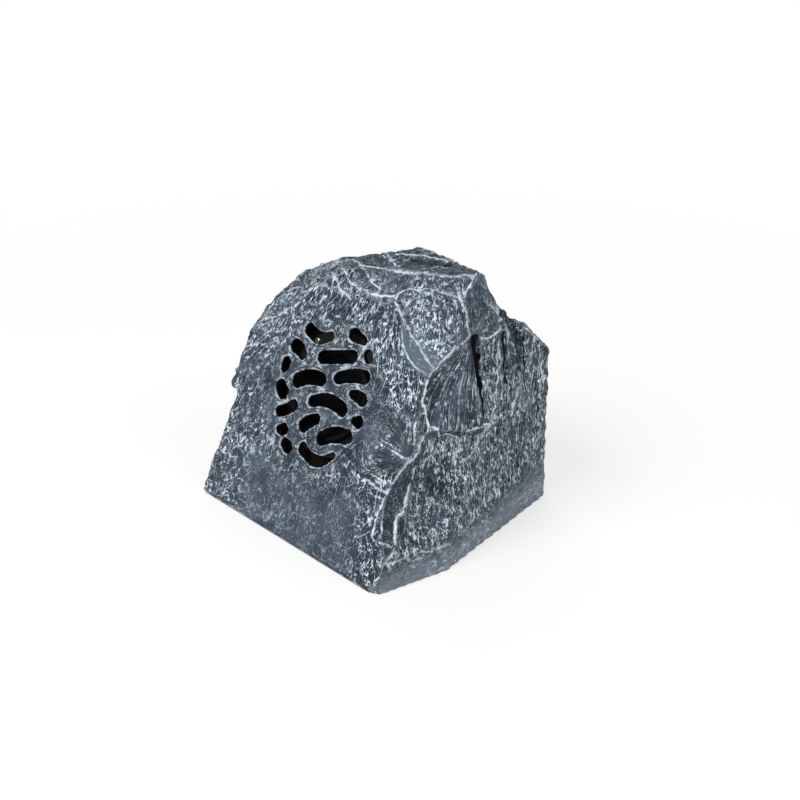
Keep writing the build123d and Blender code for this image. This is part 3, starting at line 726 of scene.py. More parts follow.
RIDGES = {
    "wall_top": Seam(1.0, ((478, 272), (470, 282), (465, 293), (459, 298))),
    "wall_step": Seam(1.0, ((459, 298), (465, 308), (468, 325), (471, 334))),
    "wall_side": Seam(1.0, ((471, 334), (463, 343), (452, 350), (440, 362))),
    "wall_fall": Seam(1.0, ((440, 362), (432, 372), (428, 384), (423, 398))),
    "wall_foot": Seam(1.0, ((423, 398), (426, 415), (429, 426))),
    "ledge_left": Seam(0.9, ((429, 426), (438, 428), (441, 436), (453, 435), (459, 437))),
    "ledge_right": Seam(0.9, ((468, 430), (476, 427), (485, 426), (493, 425))),
    "ledge_fall": Seam(0.9, ((493, 425), (486, 433), (478, 446), (472, 456), (462, 462))),
    "column_edge": Seam(0.7, ((493, 425), (494, 412), (497, 400), (499, 380), (501, 360), (499, 345))),
    "block_foot": Seam(0.8, ((476, 338), (485, 339), (494, 335), (500, 330))),
    "near_column": Seam(0.7, ((492, 306), (500, 316), (510, 330), (511, 345), (509, 365))),
    "far_column": Seam(0.8, ((512, 317), (525, 323), (536, 334), (536, 345), (533, 360), (531, 372))),
    "inner_column": Seam(0.6, ((526, 335), (527, 350), (524, 370))),
    "right_step": Seam(0.6, ((505, 413), (515, 411), (517, 400), (519, 390))),
    "right_slant": Seam(0.6, ((440, 443), (437, 452), (430, 458), (421, 467))),
    "brow_left": Seam(0.9, ((330, 268), (345, 259), (352, 259), (362, 263), (375, 266), (395, 270))),
    "brow_right": Seam(0.9, ((395, 270), (410, 273), (430, 273), (450, 277))),
    "brow_corner": Seam(0.9, ((450, 277), (466, 276), (474, 274), (479, 272))),
    "shoulder_edge": Seam(0.7, ((330, 268), (320, 278), (308, 290), (292, 299))),
    "brow_scar": Seam(0.8, ((341, 268), (348, 281), (358, 287), (370, 293), (385, 296), (395, 297))),
    "brow_seam": Seam(0.9, ((360, 264), (366, 272), (373, 284), (379, 289))),
    "brow_crack": Seam(0.7, ((331, 271), (335, 280), (340, 290), (350, 299))),
    "crown_seam": Seam(0.7, ((381, 254), (388, 256), (397, 265))),
    "crown_cut": Seam(0.7, ((386, 252), (395, 260))),
    "crown_back": Seam(0.7, ((398, 252), (420, 254), (440, 258), (455, 260))),
    "scallop_top": Seam(0.6, ((420, 289), (430, 288), (440, 293), (455, 297))),
    "scallop_left": Seam(1.0, ((420, 289), (410, 288), (398, 294), (396, 303), (399, 311), (406, 324))),
    "scallop_foot": Seam(0.7, ((406, 324), (416, 341), (424, 355), (431, 367))),
    "gouge_top": Seam(0.9, ((429, 426), (422, 443), (416, 458), (409, 461))),
    "gouge_left": Seam(0.9, ((409, 461), (399, 474), (392, 483), (382, 501), (374, 523), (371, 536))),
    "gouge_right": Seam(1.2, ((417, 467), (412, 481), (406, 498), (402, 513))),
    "gouge_end": Seam(1.2, ((402, 513), (397, 520), (395, 537), (394, 547))),
    "gouge_foot": Seam(0.6, ((371, 537), (380, 543), (388, 546))),
    "corner_edge": Seam(1.2, ((394, 547), (389, 562), (382, 565), (381, 575), (373, 583))),
    "upper_wrinkle": Seam(1.0, ((411, 461), (403, 457), (397, 455), (390, 451))),
    "middle_wrinkle": Seam(0.7, ((370, 474), (378, 478), (386, 483))),
    "lower_wrinkle": Seam(0.7, ((363, 479), (375, 487), (384, 493))),
    "upper_foot": Seam(0.6, ((419, 553), (432, 551), (445, 547), (456, 541))),
    "lower_foot": Seam(0.6, ((389, 565), (400, 561), (407, 557), (413, 562), (424, 559))),
}
# Dips that are carved and also darkened with painted shade, each with its width.
DIPS = {
    "dark_column": Seam(6.0, ((503, 314), (512, 322), (519, 335), (521, 350), (521, 370))),
    "dark_mark": Seam(3.0, ((503, 424), (500, 436))),
    "crown_dip": Seam(7.0, ((415, 259), (432, 261), (448, 263))),
}
GOUGE_FLOOR = Seam(8.0, ((411, 466), (405, 477), (400, 487), (393, 500), (387, 514), (383, 528)))


class Trail:
    """Lines over the rock, kept as close points that can be looked up."""

    step = 0.6
    reach = 3.5

    def __init__(self, pieces: list[tuple[Vector, Vector, float]]) -> None:
        """Marks points along the lines.

        Args:
            pieces: Start, end and strength of each straight piece, in millimetres.
        """
        points, strengths = [], []
        for first, second, strength in pieces:
            steps = int((second - first).length / self.step) + 1
            points += [first.lerp(second, i / steps) for i in range(steps + 1)]
            strengths += [strength] * (steps + 1)
        self.strengths = np.array(strengths)
        self.tree = KDTree(len(points))
        for i, point in enumerate(points):
            self.tree.insert(point, i)
        self.tree.balance()

    def off(self, places: np.ndarray, facing: np.ndarray) -> tuple[np.ndarray, np.ndarray, np.ndarray]:
        """Measures along the skin from the nearest line.

        Args:
            places: Points in millimetres.
            facing: The way that the skin faces at each of them.

        Returns:
            The way from the line, how far that is, and the line's strength.
        """
        found = [self.tree.find(Vector(place)) for place in places]
        way = places - np.array([spot for spot, _, _ in found])
        straight, over = np.linalg.norm(way, axis=1), np.einsum("ij,ij->i", way, facing)
        way -= facing * over[:, None]
        length = np.where(np.abs(over) < self.reach, np.linalg.norm(way, axis=1), straight)
        return way, length, self.strengths[[i for _, i, _ in found]]


def traced(seams: dict[str, Seam], solid: BVHTree) -> Trail:
    """Lays seams on the boulder's solid as one trail."""
    return Trail([piece for seam in seams.values() for piece in seam.pieces(solid)])


@dataclass(frozen=True)
class Hollow:
    """A round scar in the boulder: part of a large ball, in millimetres."""

    middle: Point
    bearing: float
    lean: float
    across: float
    depth: float

    def share(self, places: np.ndarray) -> np.ndarray:
        """Finds the points on the scar's floor.

        Args:
            places: Points in millimetres.

        Returns:
            1 on the floor, 0 away from it.
        """
        turn, lift = math.radians(self.bearing), math.radians(self.lean)
        way = np.array((math.cos(lift) * math.cos(turn), math.cos(lift) * math.sin(turn), math.sin(lift)))
        radius = ((self.across / 2) ** 2 + self.depth**2) / (2 * self.depth)
        centre = np.array(self.middle) + way * (radius - self.depth)
        off = np.abs(np.linalg.norm(places - centre, axis=1) - radius)
        return (1 - smoothstep(0.8, 2.2, off)) * self.near(places, 4)

    def near(self, places: np.ndarray, margin: float) -> np.ndarray:
        """Gives 1 for points in the scar and a margin round it, 0 away from it."""
        reach = self.across / 2 + margin
        return 1 - smoothstep(reach, reach + 6, np.linalg.norm(places - np.array(self.middle), axis=1))


@dataclass(frozen=True)
class RockLayout:
    """Where each region of the rock starts and is full, in millimetres or by how much it faces a way."""

    front_facing: Span = (0.80, 0.95)
    web_facing: Span = (0.50, 0.85)
    web_depth: float = 2.5
    hole_start: float = 0.8
    lip_depth: float = 4.0
    low_front_height: Span = (85, 45)
    low_front_left: Span = (-110, -70)
    low_front_right: Span = (105, 70)
    lower_front: Span = (185, 140)
    upper_front: Span = (150, 190)
    left_front: Span = (-30, -80)
    right_facing: Span = (0.55, 0.80)
    plinth_height: Span = (38, 12)
    plinth_slope: float = 0.08
    plinth_wave: float = 9.0
    crown_facing: Span = (0.90, 0.97)
    left_facing: Span = (0.25, 0.50)
    rough_way: Point = (0.151, 0.691, 0.706)
    rough_start: Span = (-9, 4)
    gouge_floor: Span = (0.7, 1.0)
    ledge_height: float = 131.0
    ledge_slope: float = 0.28
    ledge_wave: float = 5.0
    ledge_ease: Span = (-2, 2)
    wall_top: Span = (232, 222)
    wall_back: Span = (14, 10)
    wall_front: Span = (-40, -28)
    shoulder_foot: Span = (212, 226)
    shoulder_back: Span = (48, 36)


@dataclass(frozen=True)
class RockRun:
    """How marks are drawn out along each axis, and where they fan out from, in millimetres."""

    plain: Point = (1, 1, 0.45)
    front: Point = (1, 0.3, 0.33)
    side: Point = (1.35, 1.35, 0.16)
    plinth: Point = (1, 0.16, 1)
    column: Point = (1, 1, 0.13)
    fan_middle: float = 20.0
    fan_top: float = 408.0
    fan_radius: float = 200.0
    sweep_place: tuple[float, float] = (10.0, 236.0)
    sweep_radius: float = 70.0
    sweep_along: float = 0.07
    wrinkle_place: tuple[float, float] = (124.0, 124.0)
    wrinkle_radius: float = 26.0
    wrinkle_along: float = 0.16
    wrinkle_height: float = 1.1
    wrinkle_reach: Span = (78, 45)
    wrinkle_spread: Span = (0.75, 0.30)


@dataclass(frozen=True)
class RockRelief:
    """How deep each kind of carving cuts into the skin, in millimetres, and the noise that it follows."""

    lumps: float = 0.7
    chunks: float = 2.0
    crinkles: float = 0.8
    columns: float = 1.9
    scrapes: float = 0.8
    dips: float = 2.0
    lips: float = 0.7
    nicks: Span = (0.3, 1.2)
    deepest_nick: float = 1.4
    edge_reach: Span = (0, 4)
    foot_fade: Span = (0.5, 5.0)
    column_steps: float = 3.5
    wide_stray: float = 2.0
    fine_stray: float = 1.3
    dip_floor: Span = (0.3, 1.0)
    pit_depth: Span = (0.9, 2.4)
    lump_noise: GradientNoise = GradientNoise(11, 40)
    chunk_noise: GradientNoise = GradientNoise(23, 15)
    crinkle_noise: GradientNoise = GradientNoise(41, 7, 1)
    column_noise: GradientNoise = GradientNoise(53, 9)
    scrape_noise: GradientNoise = GradientNoise(67, 6)
    nick_noise: GradientNoise = GradientNoise(83, 8)


@dataclass(frozen=True)
class RockTone:
    """How the paint changes from region to region."""

    # Painted shade darkens the split right side, the front of the scoop and the swept wall; the other entries
    # are the paint's own tone by region.
    lightness_and_shade: tuple[tuple[str, float], ...] = (
        ("scallop", 0.46),
        ("rough_scallop", -0.26),
        ("web", -0.04),
        ("plinth", 0.70),
        ("crown", -0.46),
        ("split", -0.40),
        ("low_front", 0.14),
        ("left_front", 0.08),
        ("scoop_front", -0.40),
        ("swept_wall", -0.10),
        ("gouge", -0.20),
        ("upper_left", -0.16),
    )
    bareness: tuple[tuple[str, float], ...] = (
        ("calm", 0.7),
        ("calm_wall", -0.21),
        ("web", 0.55),
        ("crown", 0.6),
        ("upper_left", 0.3),
    )
    thinning: tuple[tuple[str, float], ...] = (
        ("lower_front", 0.28),
        ("wrinkled", 0.12),
        ("low_front", 0.65),
        ("gouge", 0.5),
        ("crown", 0.3),
        ("upper_front", -0.35),
    )
    seam_gain: float = 1.35
    seam_clear: Span = (4, 16)
    clump_noise: GradientNoise = GradientNoise(97, 42)
    gain_noise: GradientNoise = GradientNoise(71, 22)


class Carver:
    """Cuts the relief into the boulder's skin and keeps what the paint reads."""

    layout = RockLayout()
    runs = RockRun()
    relief = RockRelief()
    tone = RockTone()

    def __init__(self, surface: MeshSurface, boulder: "Boulder") -> None:
        """Measures the skin and finds its regions.

        Args:
            surface: The even mesh.
            boulder: The boulder that it belongs to.
        """
        self.surface, self.boulder = surface, boulder
        outer = boulder.outside(surface.places())[:, None]
        self.outer = smoothstep(0.45, 0.55, surface.smoothed(outer, 5)[:, 0])
        self.places = surface.smoothed(surface.places(), 1)
        surface.move_to(self.places)
        self.normals = surface.normals()
        facing = surface.smoothed(self.normals, 12)
        self.facing = facing / np.linalg.norm(facing, axis=1, keepdims=True)
        self.solid = boulder.solid()
        self.shift = self.drift(18, 31)
        self.mark_front()
        self.mark_sides()
        self.mark_walls()
        self.flow = self.run()

    def drift(self, spacing: float, seed: int) -> np.ndarray:
        """Gives each point a smooth random shift, from about -1 to 1, out of three seeds in a row."""
        return np.stack([GradientNoise(seed + i, spacing, 1).over(self.places) for i in range(3)], axis=1)

    def mark_front(self) -> None:
        """Finds the leaning front, the webs of its grille and the walls of its openings."""
        layout, (x, y, z) = self.layout, self.places.T
        axis = DriverAxis.found()
        way = np.array(axis.way)
        ahead = self.places @ way
        from_axis = axis.radii(self.places)
        full, end = self.boulder.grille_reach, self.boulder.grille_reach + self.boulder.grille_fade
        self.behind = ahead.max() - ahead
        self.front = smoothstep(*layout.front_facing, self.facing @ way)
        level = smoothstep(*layout.web_facing, self.normals @ way) * (self.behind < layout.web_depth)
        self.grille = 1 - smoothstep(full, end, from_axis)
        self.in_hole = (from_axis < end) * (self.behind > layout.hole_start) * (y < 0) * (1 - level)
        self.lip = np.clip(self.surface.smoothed(self.in_hole[:, None], 3)[:, 0] * 3, 0, 1) * level
        self.web = self.grille * level
        between = smoothstep(*layout.low_front_left, x) * smoothstep(*layout.low_front_right, x)
        self.low_front = self.front * smoothstep(*layout.low_front_height, z) * between

    def mark_sides(self) -> None:
        """Finds the split right side, its plinth, the crown and the scars."""
        layout, boulder, (_, y, z) = self.layout, self.boulder, self.places.T
        scars = (boulder.scallop, boulder.scoop, boulder.gouge, boulder.brow_hollow)
        self.scallop, self.scoop, gouge, self.brow = (scar.share(self.places) for scar in scars)
        _, floor, width = Trail(GOUGE_FLOOR.pieces(self.solid)).off(self.places, self.facing)
        self.gouge = np.maximum(gouge, 1 - smoothstep(*layout.gouge_floor, floor / width))
        from_scallop = self.places - np.array(boulder.scallop.middle)
        self.rough_half = smoothstep(*layout.rough_start, from_scallop @ layout.rough_way)
        self.split = smoothstep(*layout.right_facing, self.facing[:, 0])
        wave = layout.plinth_wave * GradientNoise(5, 16).over(self.places)
        self.plinth = self.split * smoothstep(*layout.plinth_height, z - layout.plinth_slope * y + wave)
        self.crown = smoothstep(*layout.crown_facing, self.facing[:, 2])
        self.upper_left = smoothstep(*layout.left_facing, -self.facing[:, 0])

    def mark_walls(self) -> None:
        """Finds the wall over the right side's ledge and all that is smoother than the rest."""
        layout, (_, y, z) = self.layout, self.places.T
        ledge = z - layout.ledge_height + layout.ledge_slope * y - layout.ledge_wave * self.shift[:, 0]
        over = smoothstep(*layout.ledge_ease, ledge) * smoothstep(*layout.wall_top, z)
        self.fan_zone = self.split * smoothstep(*layout.wall_back, y) * over
        self.swept_wall = np.maximum(self.scoop, self.fan_zone) * (1 - self.scallop)
        shoulder = self.split * smoothstep(*layout.shoulder_foot, z) * smoothstep(*layout.shoulder_back, y)
        clean = self.scallop * (1 - self.rough_half)
        smooth = (clean, 0.8 * self.brow, self.swept_wall, self.gouge, 0.6 * self.plinth, 0.8 * shoulder)
        self.calm = np.maximum.reduce(smooth)

    def run(self) -> np.ndarray:
        """Lays out how the marks run over the rock.

        Returns:
            Places measured across and along the run, in millimetres.
        """
        runs, (x, y, z) = self.runs, self.places.T
        fan = runs.fan_radius / (runs.fan_top - z)
        across, down = y - runs.sweep_place[0], runs.sweep_place[1] - z
        turn, away = np.arctan2(across, down), np.hypot(across, down)
        left, over = runs.wrinkle_place[0] - x, runs.wrinkle_height * (z - runs.wrinkle_place[1])
        spread, far = np.arctan2(over, left), np.hypot(left, over)
        narrow = smoothstep(*runs.wrinkle_spread, np.abs(spread))
        self.wrinkled = self.front * smoothstep(*runs.wrinkle_reach, far) * narrow
        swept = np.stack([runs.sweep_radius * turn, 0 * y, runs.sweep_along * away], axis=1)
        puckered = np.stack([runs.wrinkle_radius * spread, 0 * y, runs.wrinkle_along * far], axis=1)
        layers = (
            (np.stack([(x - runs.fan_middle) * fan, y, z], axis=1) * runs.front, self.front),
            (self.places * runs.side, self.split * (1 - self.plinth)),
            (self.places * runs.plinth, self.plinth),
            (swept, self.swept_wall),
            (puckered, self.wrinkled),
        )
        flow = self.places * runs.plain
        for places, share in layers:
            flow += (places - flow) * share[:, None]
        return flow

    def columns(self) -> tuple[np.ndarray, np.ndarray]:
        """Breaks the right side into upright columns.

        Returns:
            How far each point stands out, and 1 in the clefts between columns.
        """
        count = self.relief.column_steps
        upright = (self.places + 4 * self.shift) * self.runs.column
        stack = self.relief.column_noise.over(upright) * count
        steps = (np.floor(stack) + smoothstep(0.6, 1.0, stack % 1)) / count
        rough = self.split * (1 - np.maximum(self.calm, self.plinth))
        return steps, smoothstep(0.22, 0.02, stack % 1) * rough

    def depths(self, steps: np.ndarray) -> np.ndarray:
        """Works out how deep the skin is cut.

        Args:
            steps: How far the columns stand out.

        Returns:
            One depth for each point, in millimetres.
        """
        cut, places, rough = self.relief, self.places, 1 - self.calm
        chunks = np.abs(cut.chunk_noise.over(places + 4 * self.shift))
        crinkles = np.abs(cut.crinkle_noise.over(self.flow + 5 * self.shift))
        scrapes = cut.scrape_noise.over(self.flow)
        nicks = np.clip(cut.nicks[0] + cut.nicks[1] * cut.nick_noise.over(places), 0, cut.deepest_nick)
        blocky = rough * (1 - self.web) * (1 - 0.5 * self.front)
        lined = rough * (1 - 0.7 * self.web) * (1 - 0.6 * self.split)
        upright = self.split * (1 - self.swept_wall) * (1 - self.plinth)
        depth = cut.lumps * cut.lump_noise.over(places) * (1 - self.web)
        depth += cut.chunks * (1 - smoothstep(0, 0.45, chunks)) * blocky
        depth += cut.crinkles * smoothstep(0, 0.30, crinkles) * lined
        depth += cut.columns * (0.5 - 0.5 * steps) * upright
        depth += cut.scrapes * (0.5 + 0.5 * scrapes) * np.maximum(self.swept_wall, self.gouge)
        depth += (1 - smoothstep(*cut.edge_reach, self.rim)) * nicks * (1 - self.grille)
        depth += cut.dips * self.sunk - cut.lips * self.lip
        return depth * self.outer * (1 - self.in_hole) * smoothstep(*cut.foot_fade, places[:, 2])

    def gains(self) -> np.ndarray:
        """Works out how bright the solid's own ridges are painted, dimmed beside a picked line.

        Returns:
            One brightness for each point.
        """
        boulder = self.boulder
        near = [scar.near(self.places, -2) for scar in (boulder.scallop, boulder.scoop, boulder.gouge)]
        bright = np.maximum.reduce([*near, 1.2 * self.grille, 0.85 * (1 - 0.65 * self.split)])
        bright *= 1 - self.fan_zone * smoothstep(*self.layout.wall_front, self.places[:, 1])
        return bright * np.maximum(0.2 + 0.8 * smoothstep(*self.tone.seam_clear, self.seam), self.grille)

    def zones(self) -> dict[str, np.ndarray]:
        """Names the regions that have a tone of their own.

        Returns:
            For each region, 1 in it and 0 away from it.
        """
        layout, (x, _, z) = self.layout, self.places.T
        return {
            "calm": self.calm,
            "calm_wall": self.calm * self.swept_wall,
            "crown": self.crown,
            "gouge": self.gouge,
            "left_front": self.front * smoothstep(*layout.left_front, x),
            "low_front": self.low_front,
            "lower_front": self.front * smoothstep(*layout.lower_front, z),
            "plinth": self.plinth,
            "rough_scallop": self.rough_half * self.scallop,
            "scallop": self.scallop,
            "scoop_front": self.scoop * (1 - self.split),
            "split": self.split,
            "swept_wall": self.swept_wall,
            "upper_front": self.front * smoothstep(*layout.upper_front, z),
            "upper_left": self.upper_left,
            "web": self.web,
            "wrinkled": self.wrinkled,
        }

    def tones(self) -> tuple[np.ndarray, np.ndarray]:
        """Works out how light the coat is and how thickly the brush marks stand.

        Returns:
            A tone for each point, 0 for no change, and a density from 0 to 1.
        """
        zones, tone = self.zones(), self.tone
        # Includes painted shade on the right side, the scoop and the swept wall.
        light = sum(change * zones[name] for name, change in tone.lightness_and_shade)
        bare = sum(change * zones[name] for name, change in tone.bareness)
        dense = 1 - np.clip(bare, 0, 1)
        for name, loss in tone.thinning:
            dense *= 1 - loss * zones[name]
        dense *= 0.6 + 0.4 * smoothstep(-0.30, 0.25, tone.clump_noise.over(self.places))
        return light, np.clip(np.maximum(dense, zones["rough_scallop"]), 0, 1)

    def trace(self) -> None:
        """Measures from the sharp edges, the picked lines and the dips."""
        relief, away = self.relief, (1 - self.grille)[:, None]
        stray = (relief.wide_stray * self.shift + relief.fine_stray * self.drift(7, 34)) * away
        drawn = self.places + stray - self.facing * np.einsum("ij,ij->i", stray, self.facing)[:, None]
        skin = self.facing * away
        ridges, creases = self.boulder.sharp_edges()
        self.rim_way, self.rim, _ = ridges.off(drawn, skin)
        self.groove_way, self.groove, _ = creases.off(drawn, skin)
        self.seam_way, self.seam, self.seam_strength = traced(RIDGES, self.solid).off(drawn, skin)
        _, dip, width = traced(DIPS, self.solid).off(drawn, skin)
        self.sunk = 1 - smoothstep(*relief.dip_floor, dip / width)

    def cut(self) -> None:
        """Moves the skin inwards and finds what then lies deep."""
        steps, cleft = self.columns()
        # Pits, clefts between the columns and dips are darkened in the coat as painted shade.
        hollow = smoothstep(*self.relief.pit_depth, -self.surface.bend(40))
        self.pit = np.maximum(hollow, 0.8 * np.maximum(cleft, self.sunk)) * (1 - self.grille)
        carved = self.places - self.normals * self.depths(steps)[:, None]
        self.surface.move_to(np.clip(carved, *np.array(CAD_BOX) / MM))

    def readings(self) -> dict[str, np.ndarray]:
        """Works out what the paint reads.

        Returns:
            Its values by name, one row for each point.
        """
        _, y, z = self.places.T
        picked = (self.seam < self.rim) * (self.grille < 0.5)
        gain = np.where(picked, self.tone.seam_gain * self.seam_strength, self.gains())
        gain *= 0.90 + 0.60 * self.tone.gain_noise.over(self.places) * (1 - self.grille)
        light, dense = self.tones()
        hidden, shallow = 1 - self.outer, self.behind < self.layout.lip_depth
        straight = np.maximum(self.split, self.swept_wall)
        # The paint darkens to near black deeper into the openings and inside near the grille: painted shade.
        inner_shade = np.maximum(hidden, self.in_hole * smoothstep(1.0, 5.0, self.behind))
        return {
            "rim": np.where(picked, self.seam, self.rim),
            "rim_way": np.where(picked[:, None], self.seam_way, self.rim_way),
            "groove": self.groove + 9 * self.grille,
            "groove_way": self.groove_way,
            "gain": np.clip(gain, 0, 1) * np.maximum(self.outer, self.grille * shallow),
            "dense": dense,
            "light": light,
            "wander": 1 - np.maximum(0.8 * straight, 0.3 * self.wrinkled),
            "pit": self.pit * self.outer,
            "inner_shade": np.clip(inner_shade, 0, 1),
            "bare": np.maximum(smoothstep(1.6, 0.4, z), hidden * (1 - self.grille)),
            "grille": self.grille * shallow * (y < 0) * self.outer,
            "flow": self.flow,
            "veil": 0.22 * self.plinth + 0.07 * self.scallop * (1 - self.rough_half),
        }

    def carve(self) -> np.ndarray:
        """Cuts the relief and keeps what the paint reads.

        Returns:
            1 for the points that can't be seen from outside, 0 for the others.
        """
        self.trace()
        self.cut()
        for name, values in self.readings().items():
            self.surface.keep(name, values)
        return (1 - self.outer) * (1 - self.in_hole)


@dataclass
class Boulder:
    """The hollow cast boulder: its carved skin and its paint, in millimetres."""

    cell: float = 2.1
    quick_cell: float = 4.0
    middle: Point = (0, 20, 110)
    wall: float = 8.0
    grille_reach: float = 76.0
    grille_fade: float = 16.0
    sharp_angle: float = 13.0
    thinned: float = 0.93
    scallop: Hollow = Hollow((84, -21.7, 222), -68, 42, 66, 7)
    brow_hollow: Hollow = Hollow((10, -0.7, 263), -88, 42, 70, 6)
    scoop: Hollow = Hollow((126, -18, 185), -26, 12, 86, 8)
    gouge: Hollow = Hollow((123, -91.1, 90), -53, 20, 100, 9)
    paint: RockPaint = field(default_factory=RockPaint)

    def skin(self) -> bpy.types.Object:
        """Copies the solid as an even mesh.

        Returns:
            The new object, not yet carved.
        """
        source = bpy.data.objects.new("rock_skin", frame["nodes"]["rock_shell"].data.copy())
        bpy.context.scene.collection.objects.link(source)
        evening = source.modifiers.new("even", "REMESH")
        evening.mode = "VOXEL"
        evening.voxel_size = self.cell * MM
        self.settle(source)
        return source

    def settle(self, piece: bpy.types.Object) -> None:
        """Turns a piece's modifiers into its mesh.

        Args:
            piece: The piece, which keeps its name.
        """
        shown = piece.evaluated_get(bpy.context.evaluated_depsgraph_get())
        mesh = bpy.data.meshes.new_from_object(shown)
        piece.modifiers.clear()
        piece.data = mesh

    def solid(self) -> BVHTree:
        """Gives the boulder's solid, to cast rays at.

        Returns:
            The solid in millimetres.
        """
        mesh = frame["nodes"]["rock_shell"].data
        corners = [vertex.co / MM for vertex in mesh.vertices]
        return BVHTree.FromPolygons(corners, [tuple(face.vertices) for face in mesh.polygons])

    def outside(self, places: np.ndarray) -> np.ndarray:
        """Tells the boulder's outer points from those of its hollow.

        Args:
            places: Points in millimetres.

        Returns:
            1 for an outer point, 0 for one inside.
        """
        tree = self.solid()
        found = np.ones(len(places))
        ways = places - np.array(self.middle)
        ways /= np.linalg.norm(ways, axis=1, keepdims=True)
        for i, (place, way) in enumerate(zip(places + ways * self.wall / 2, ways)):
            _, faced, _, _ = tree.ray_cast(Vector(place), Vector(way))
            if faced is not None and faced.dot(Vector(way)) > 0:
                found[i] = 0
        found[self.depth_in_hull(places) > 2 * self.wall] = 0
        return found

    def depth_in_hull(self, places: np.ndarray) -> np.ndarray:
        """Gives how deep points lie under the boulder's convex hull.

        Args:
            places: Points in millimetres.

        Returns:
            One depth for each point, in millimetres.
        """
        form = bmesh.new()
        form.from_mesh(frame["nodes"]["rock_shell"].data)
        made = bmesh.ops.convex_hull(form, input=form.verts, use_existing_faces=False)
        hull = [face for face in made["geom"] if isinstance(face, bmesh.types.BMFace)]
        middle = Vector(self.middle) * MM
        planes = {}
        for face in hull:
            way = face.normal if face.normal.dot(face.verts[0].co - middle) > 0 else -face.normal
            key = tuple(round(part, 2) for part in way)
            planes[key] = max(planes.get(key, -math.inf), way.dot(face.verts[0].co) / MM)
        form.free()
        return np.min([reach - places @ np.array(way) for way, reach in planes.items()], axis=0)

    def sharp_edges(self) -> tuple[Trail, Trail]:
        """Finds the solid's sharp edges.

        Returns:
            Its ridges and its creases.
        """
        form = bmesh.new()
        form.from_mesh(frame["nodes"]["rock_shell"].data)
        bmesh.ops.remove_doubles(form, verts=form.verts, dist=0.01 * MM)
        pieces: tuple[list, list] = ([], [])
        for edge in form.edges:
            turn = math.degrees(edge.calc_face_angle_signed(0.0))
            if abs(turn) > self.sharp_angle:
                first, second = (end.co / MM for end in edge.verts)
                pieces[turn < 0].append((first, second, 1.0))
        form.free()
        return Trail(pieces[0]), Trail(pieces[1])

    def thin_inside(self, piece: bpy.types.Object, hidden: np.ndarray) -> None:
        """Thins the mesh of the walls that face inwards.

        Args:
            piece: The carved skin.
            hidden: 1 for its points that can't be seen from outside.
        """
        group = piece.vertex_groups.new(name="inside")
        away = np.flatnonzero(hidden > 0.5).tolist()
        group.add(away, 1.0, "REPLACE")
        thinning = piece.modifiers.new("thin", "DECIMATE")
        thinning.vertex_group = group.name
        thinning.ratio = 1 - self.thinned * len(away) / len(piece.data.vertices)
        self.settle(piece)
        piece.vertex_groups.clear()

    def build(self) -> bpy.types.Object:
        """Makes the boulder.

        Returns:
            The carved and painted skin.
        """
        piece = self.skin()
        hidden = Carver(MeshSurface(piece.data), self).carve()
        self.thin_inside(piece, hidden)
        piece.data.materials.clear()
        piece.data.materials.append(RockCoat(self.paint).built())
        piece.data.shade_smooth()
        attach(piece, CABINET)
        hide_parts("rock_shell")
        return piece


NEAR_BLACK = ((0.007, 0.007, 0.008), (0.003, 0.003, 0.004))
CARD_BLACK = PartFinish("doped_paper", *NEAR_BLACK, 0.9, Grain.FIBROUS, 0.7, 0.10, specular=0.08)
ROLL_RUBBER = PartFinish("roll_rubber", *NEAR_BLACK, 0.7, Grain.MOULDED, 0.5, 0.03, specular=0.12)
COIL_CLOTH = PartFinish("coil_cloth", (0.46, 0.30, 0.12), (0.28, 0.17, 0.06), 0.8, Grain.WOVEN, 0.9, 0.12)
BLACK_STEEL = PartFinish(
    "black_steel", (0.016, 0.016, 0.018), (0.008, 0.008, 0.009), 0.5, Grain.CAST, 0.8, 0.03, specular=0.3
)
ZINC_STEEL = PartFinish(
    "zinc_steel", (0.62, 0.60, 0.52), (0.42, 0.40, 0.34), 0.34, Grain.BRUSHED, 0.5, 0.02, metal=1.0
)
FERRITE = PartFinish("ferrite", (0.050, 0.050, 0.052), (0.022, 0.022, 0.024), 0.6, Grain.CAST, 1.6, 0.12)
FIBREBOARD = PartFinish(
    "fibreboard", (0.020, 0.014, 0.010), (0.010, 0.007, 0.005), 0.9, Grain.FIBROUS, 1.1, 0.12, specular=0.08
)
SEAL_FOAM = PartFinish(
    "seal_foam", (0.035, 0.035, 0.036), (0.014, 0.014, 0.015), 0.95, Grain.FOAMED, 0.9, 0.25
)
COPPER_COIL = PartFinish(
    "copper_coil", (0.60, 0.26, 0.10), (0.36, 0.14, 0.05), 0.35, Grain.BRUSHED, 0.3, 0.05, metal=0.9
)
FIBRE_STRIP = PartFinish("fibre_strip", (0.30, 0.15, 0.05), (0.18, 0.08, 0.03), 0.7, Grain.FIBROUS, 0.6, 0.05)
BRASS = PartFinish("brass", (0.70, 0.48, 0.18), (0.50, 0.32, 0.11), 0.32, Grain.BRUSHED, 0.5, 0.02, metal=1.0)
RED_LEAD = PartFinish("red_lead", (0.42, 0.020, 0.015), (0.28, 0.012, 0.010), 0.45, Grain.MOULDED, 0.6, 0.02)
BLACK_LEAD = PartFinish(
    "black_lead", (0.022, 0.022, 0.023), (0.011, 0.011, 0.012), 0.45, Grain.MOULDED, 0.6, 0.02
)
NYLON = PartFinish(
    "black_nylon", (0.030, 0.030, 0.032), (0.016, 0.016, 0.017), 0.48, Grain.MOULDED, 0.7, 0.04
)
SEAL_RUBBER = PartFinish(
    "seal_rubber", (0.030, 0.030, 0.031), (0.015, 0.015, 0.016), 0.75, Grain.MOULDED, 0.6, 0.04
)


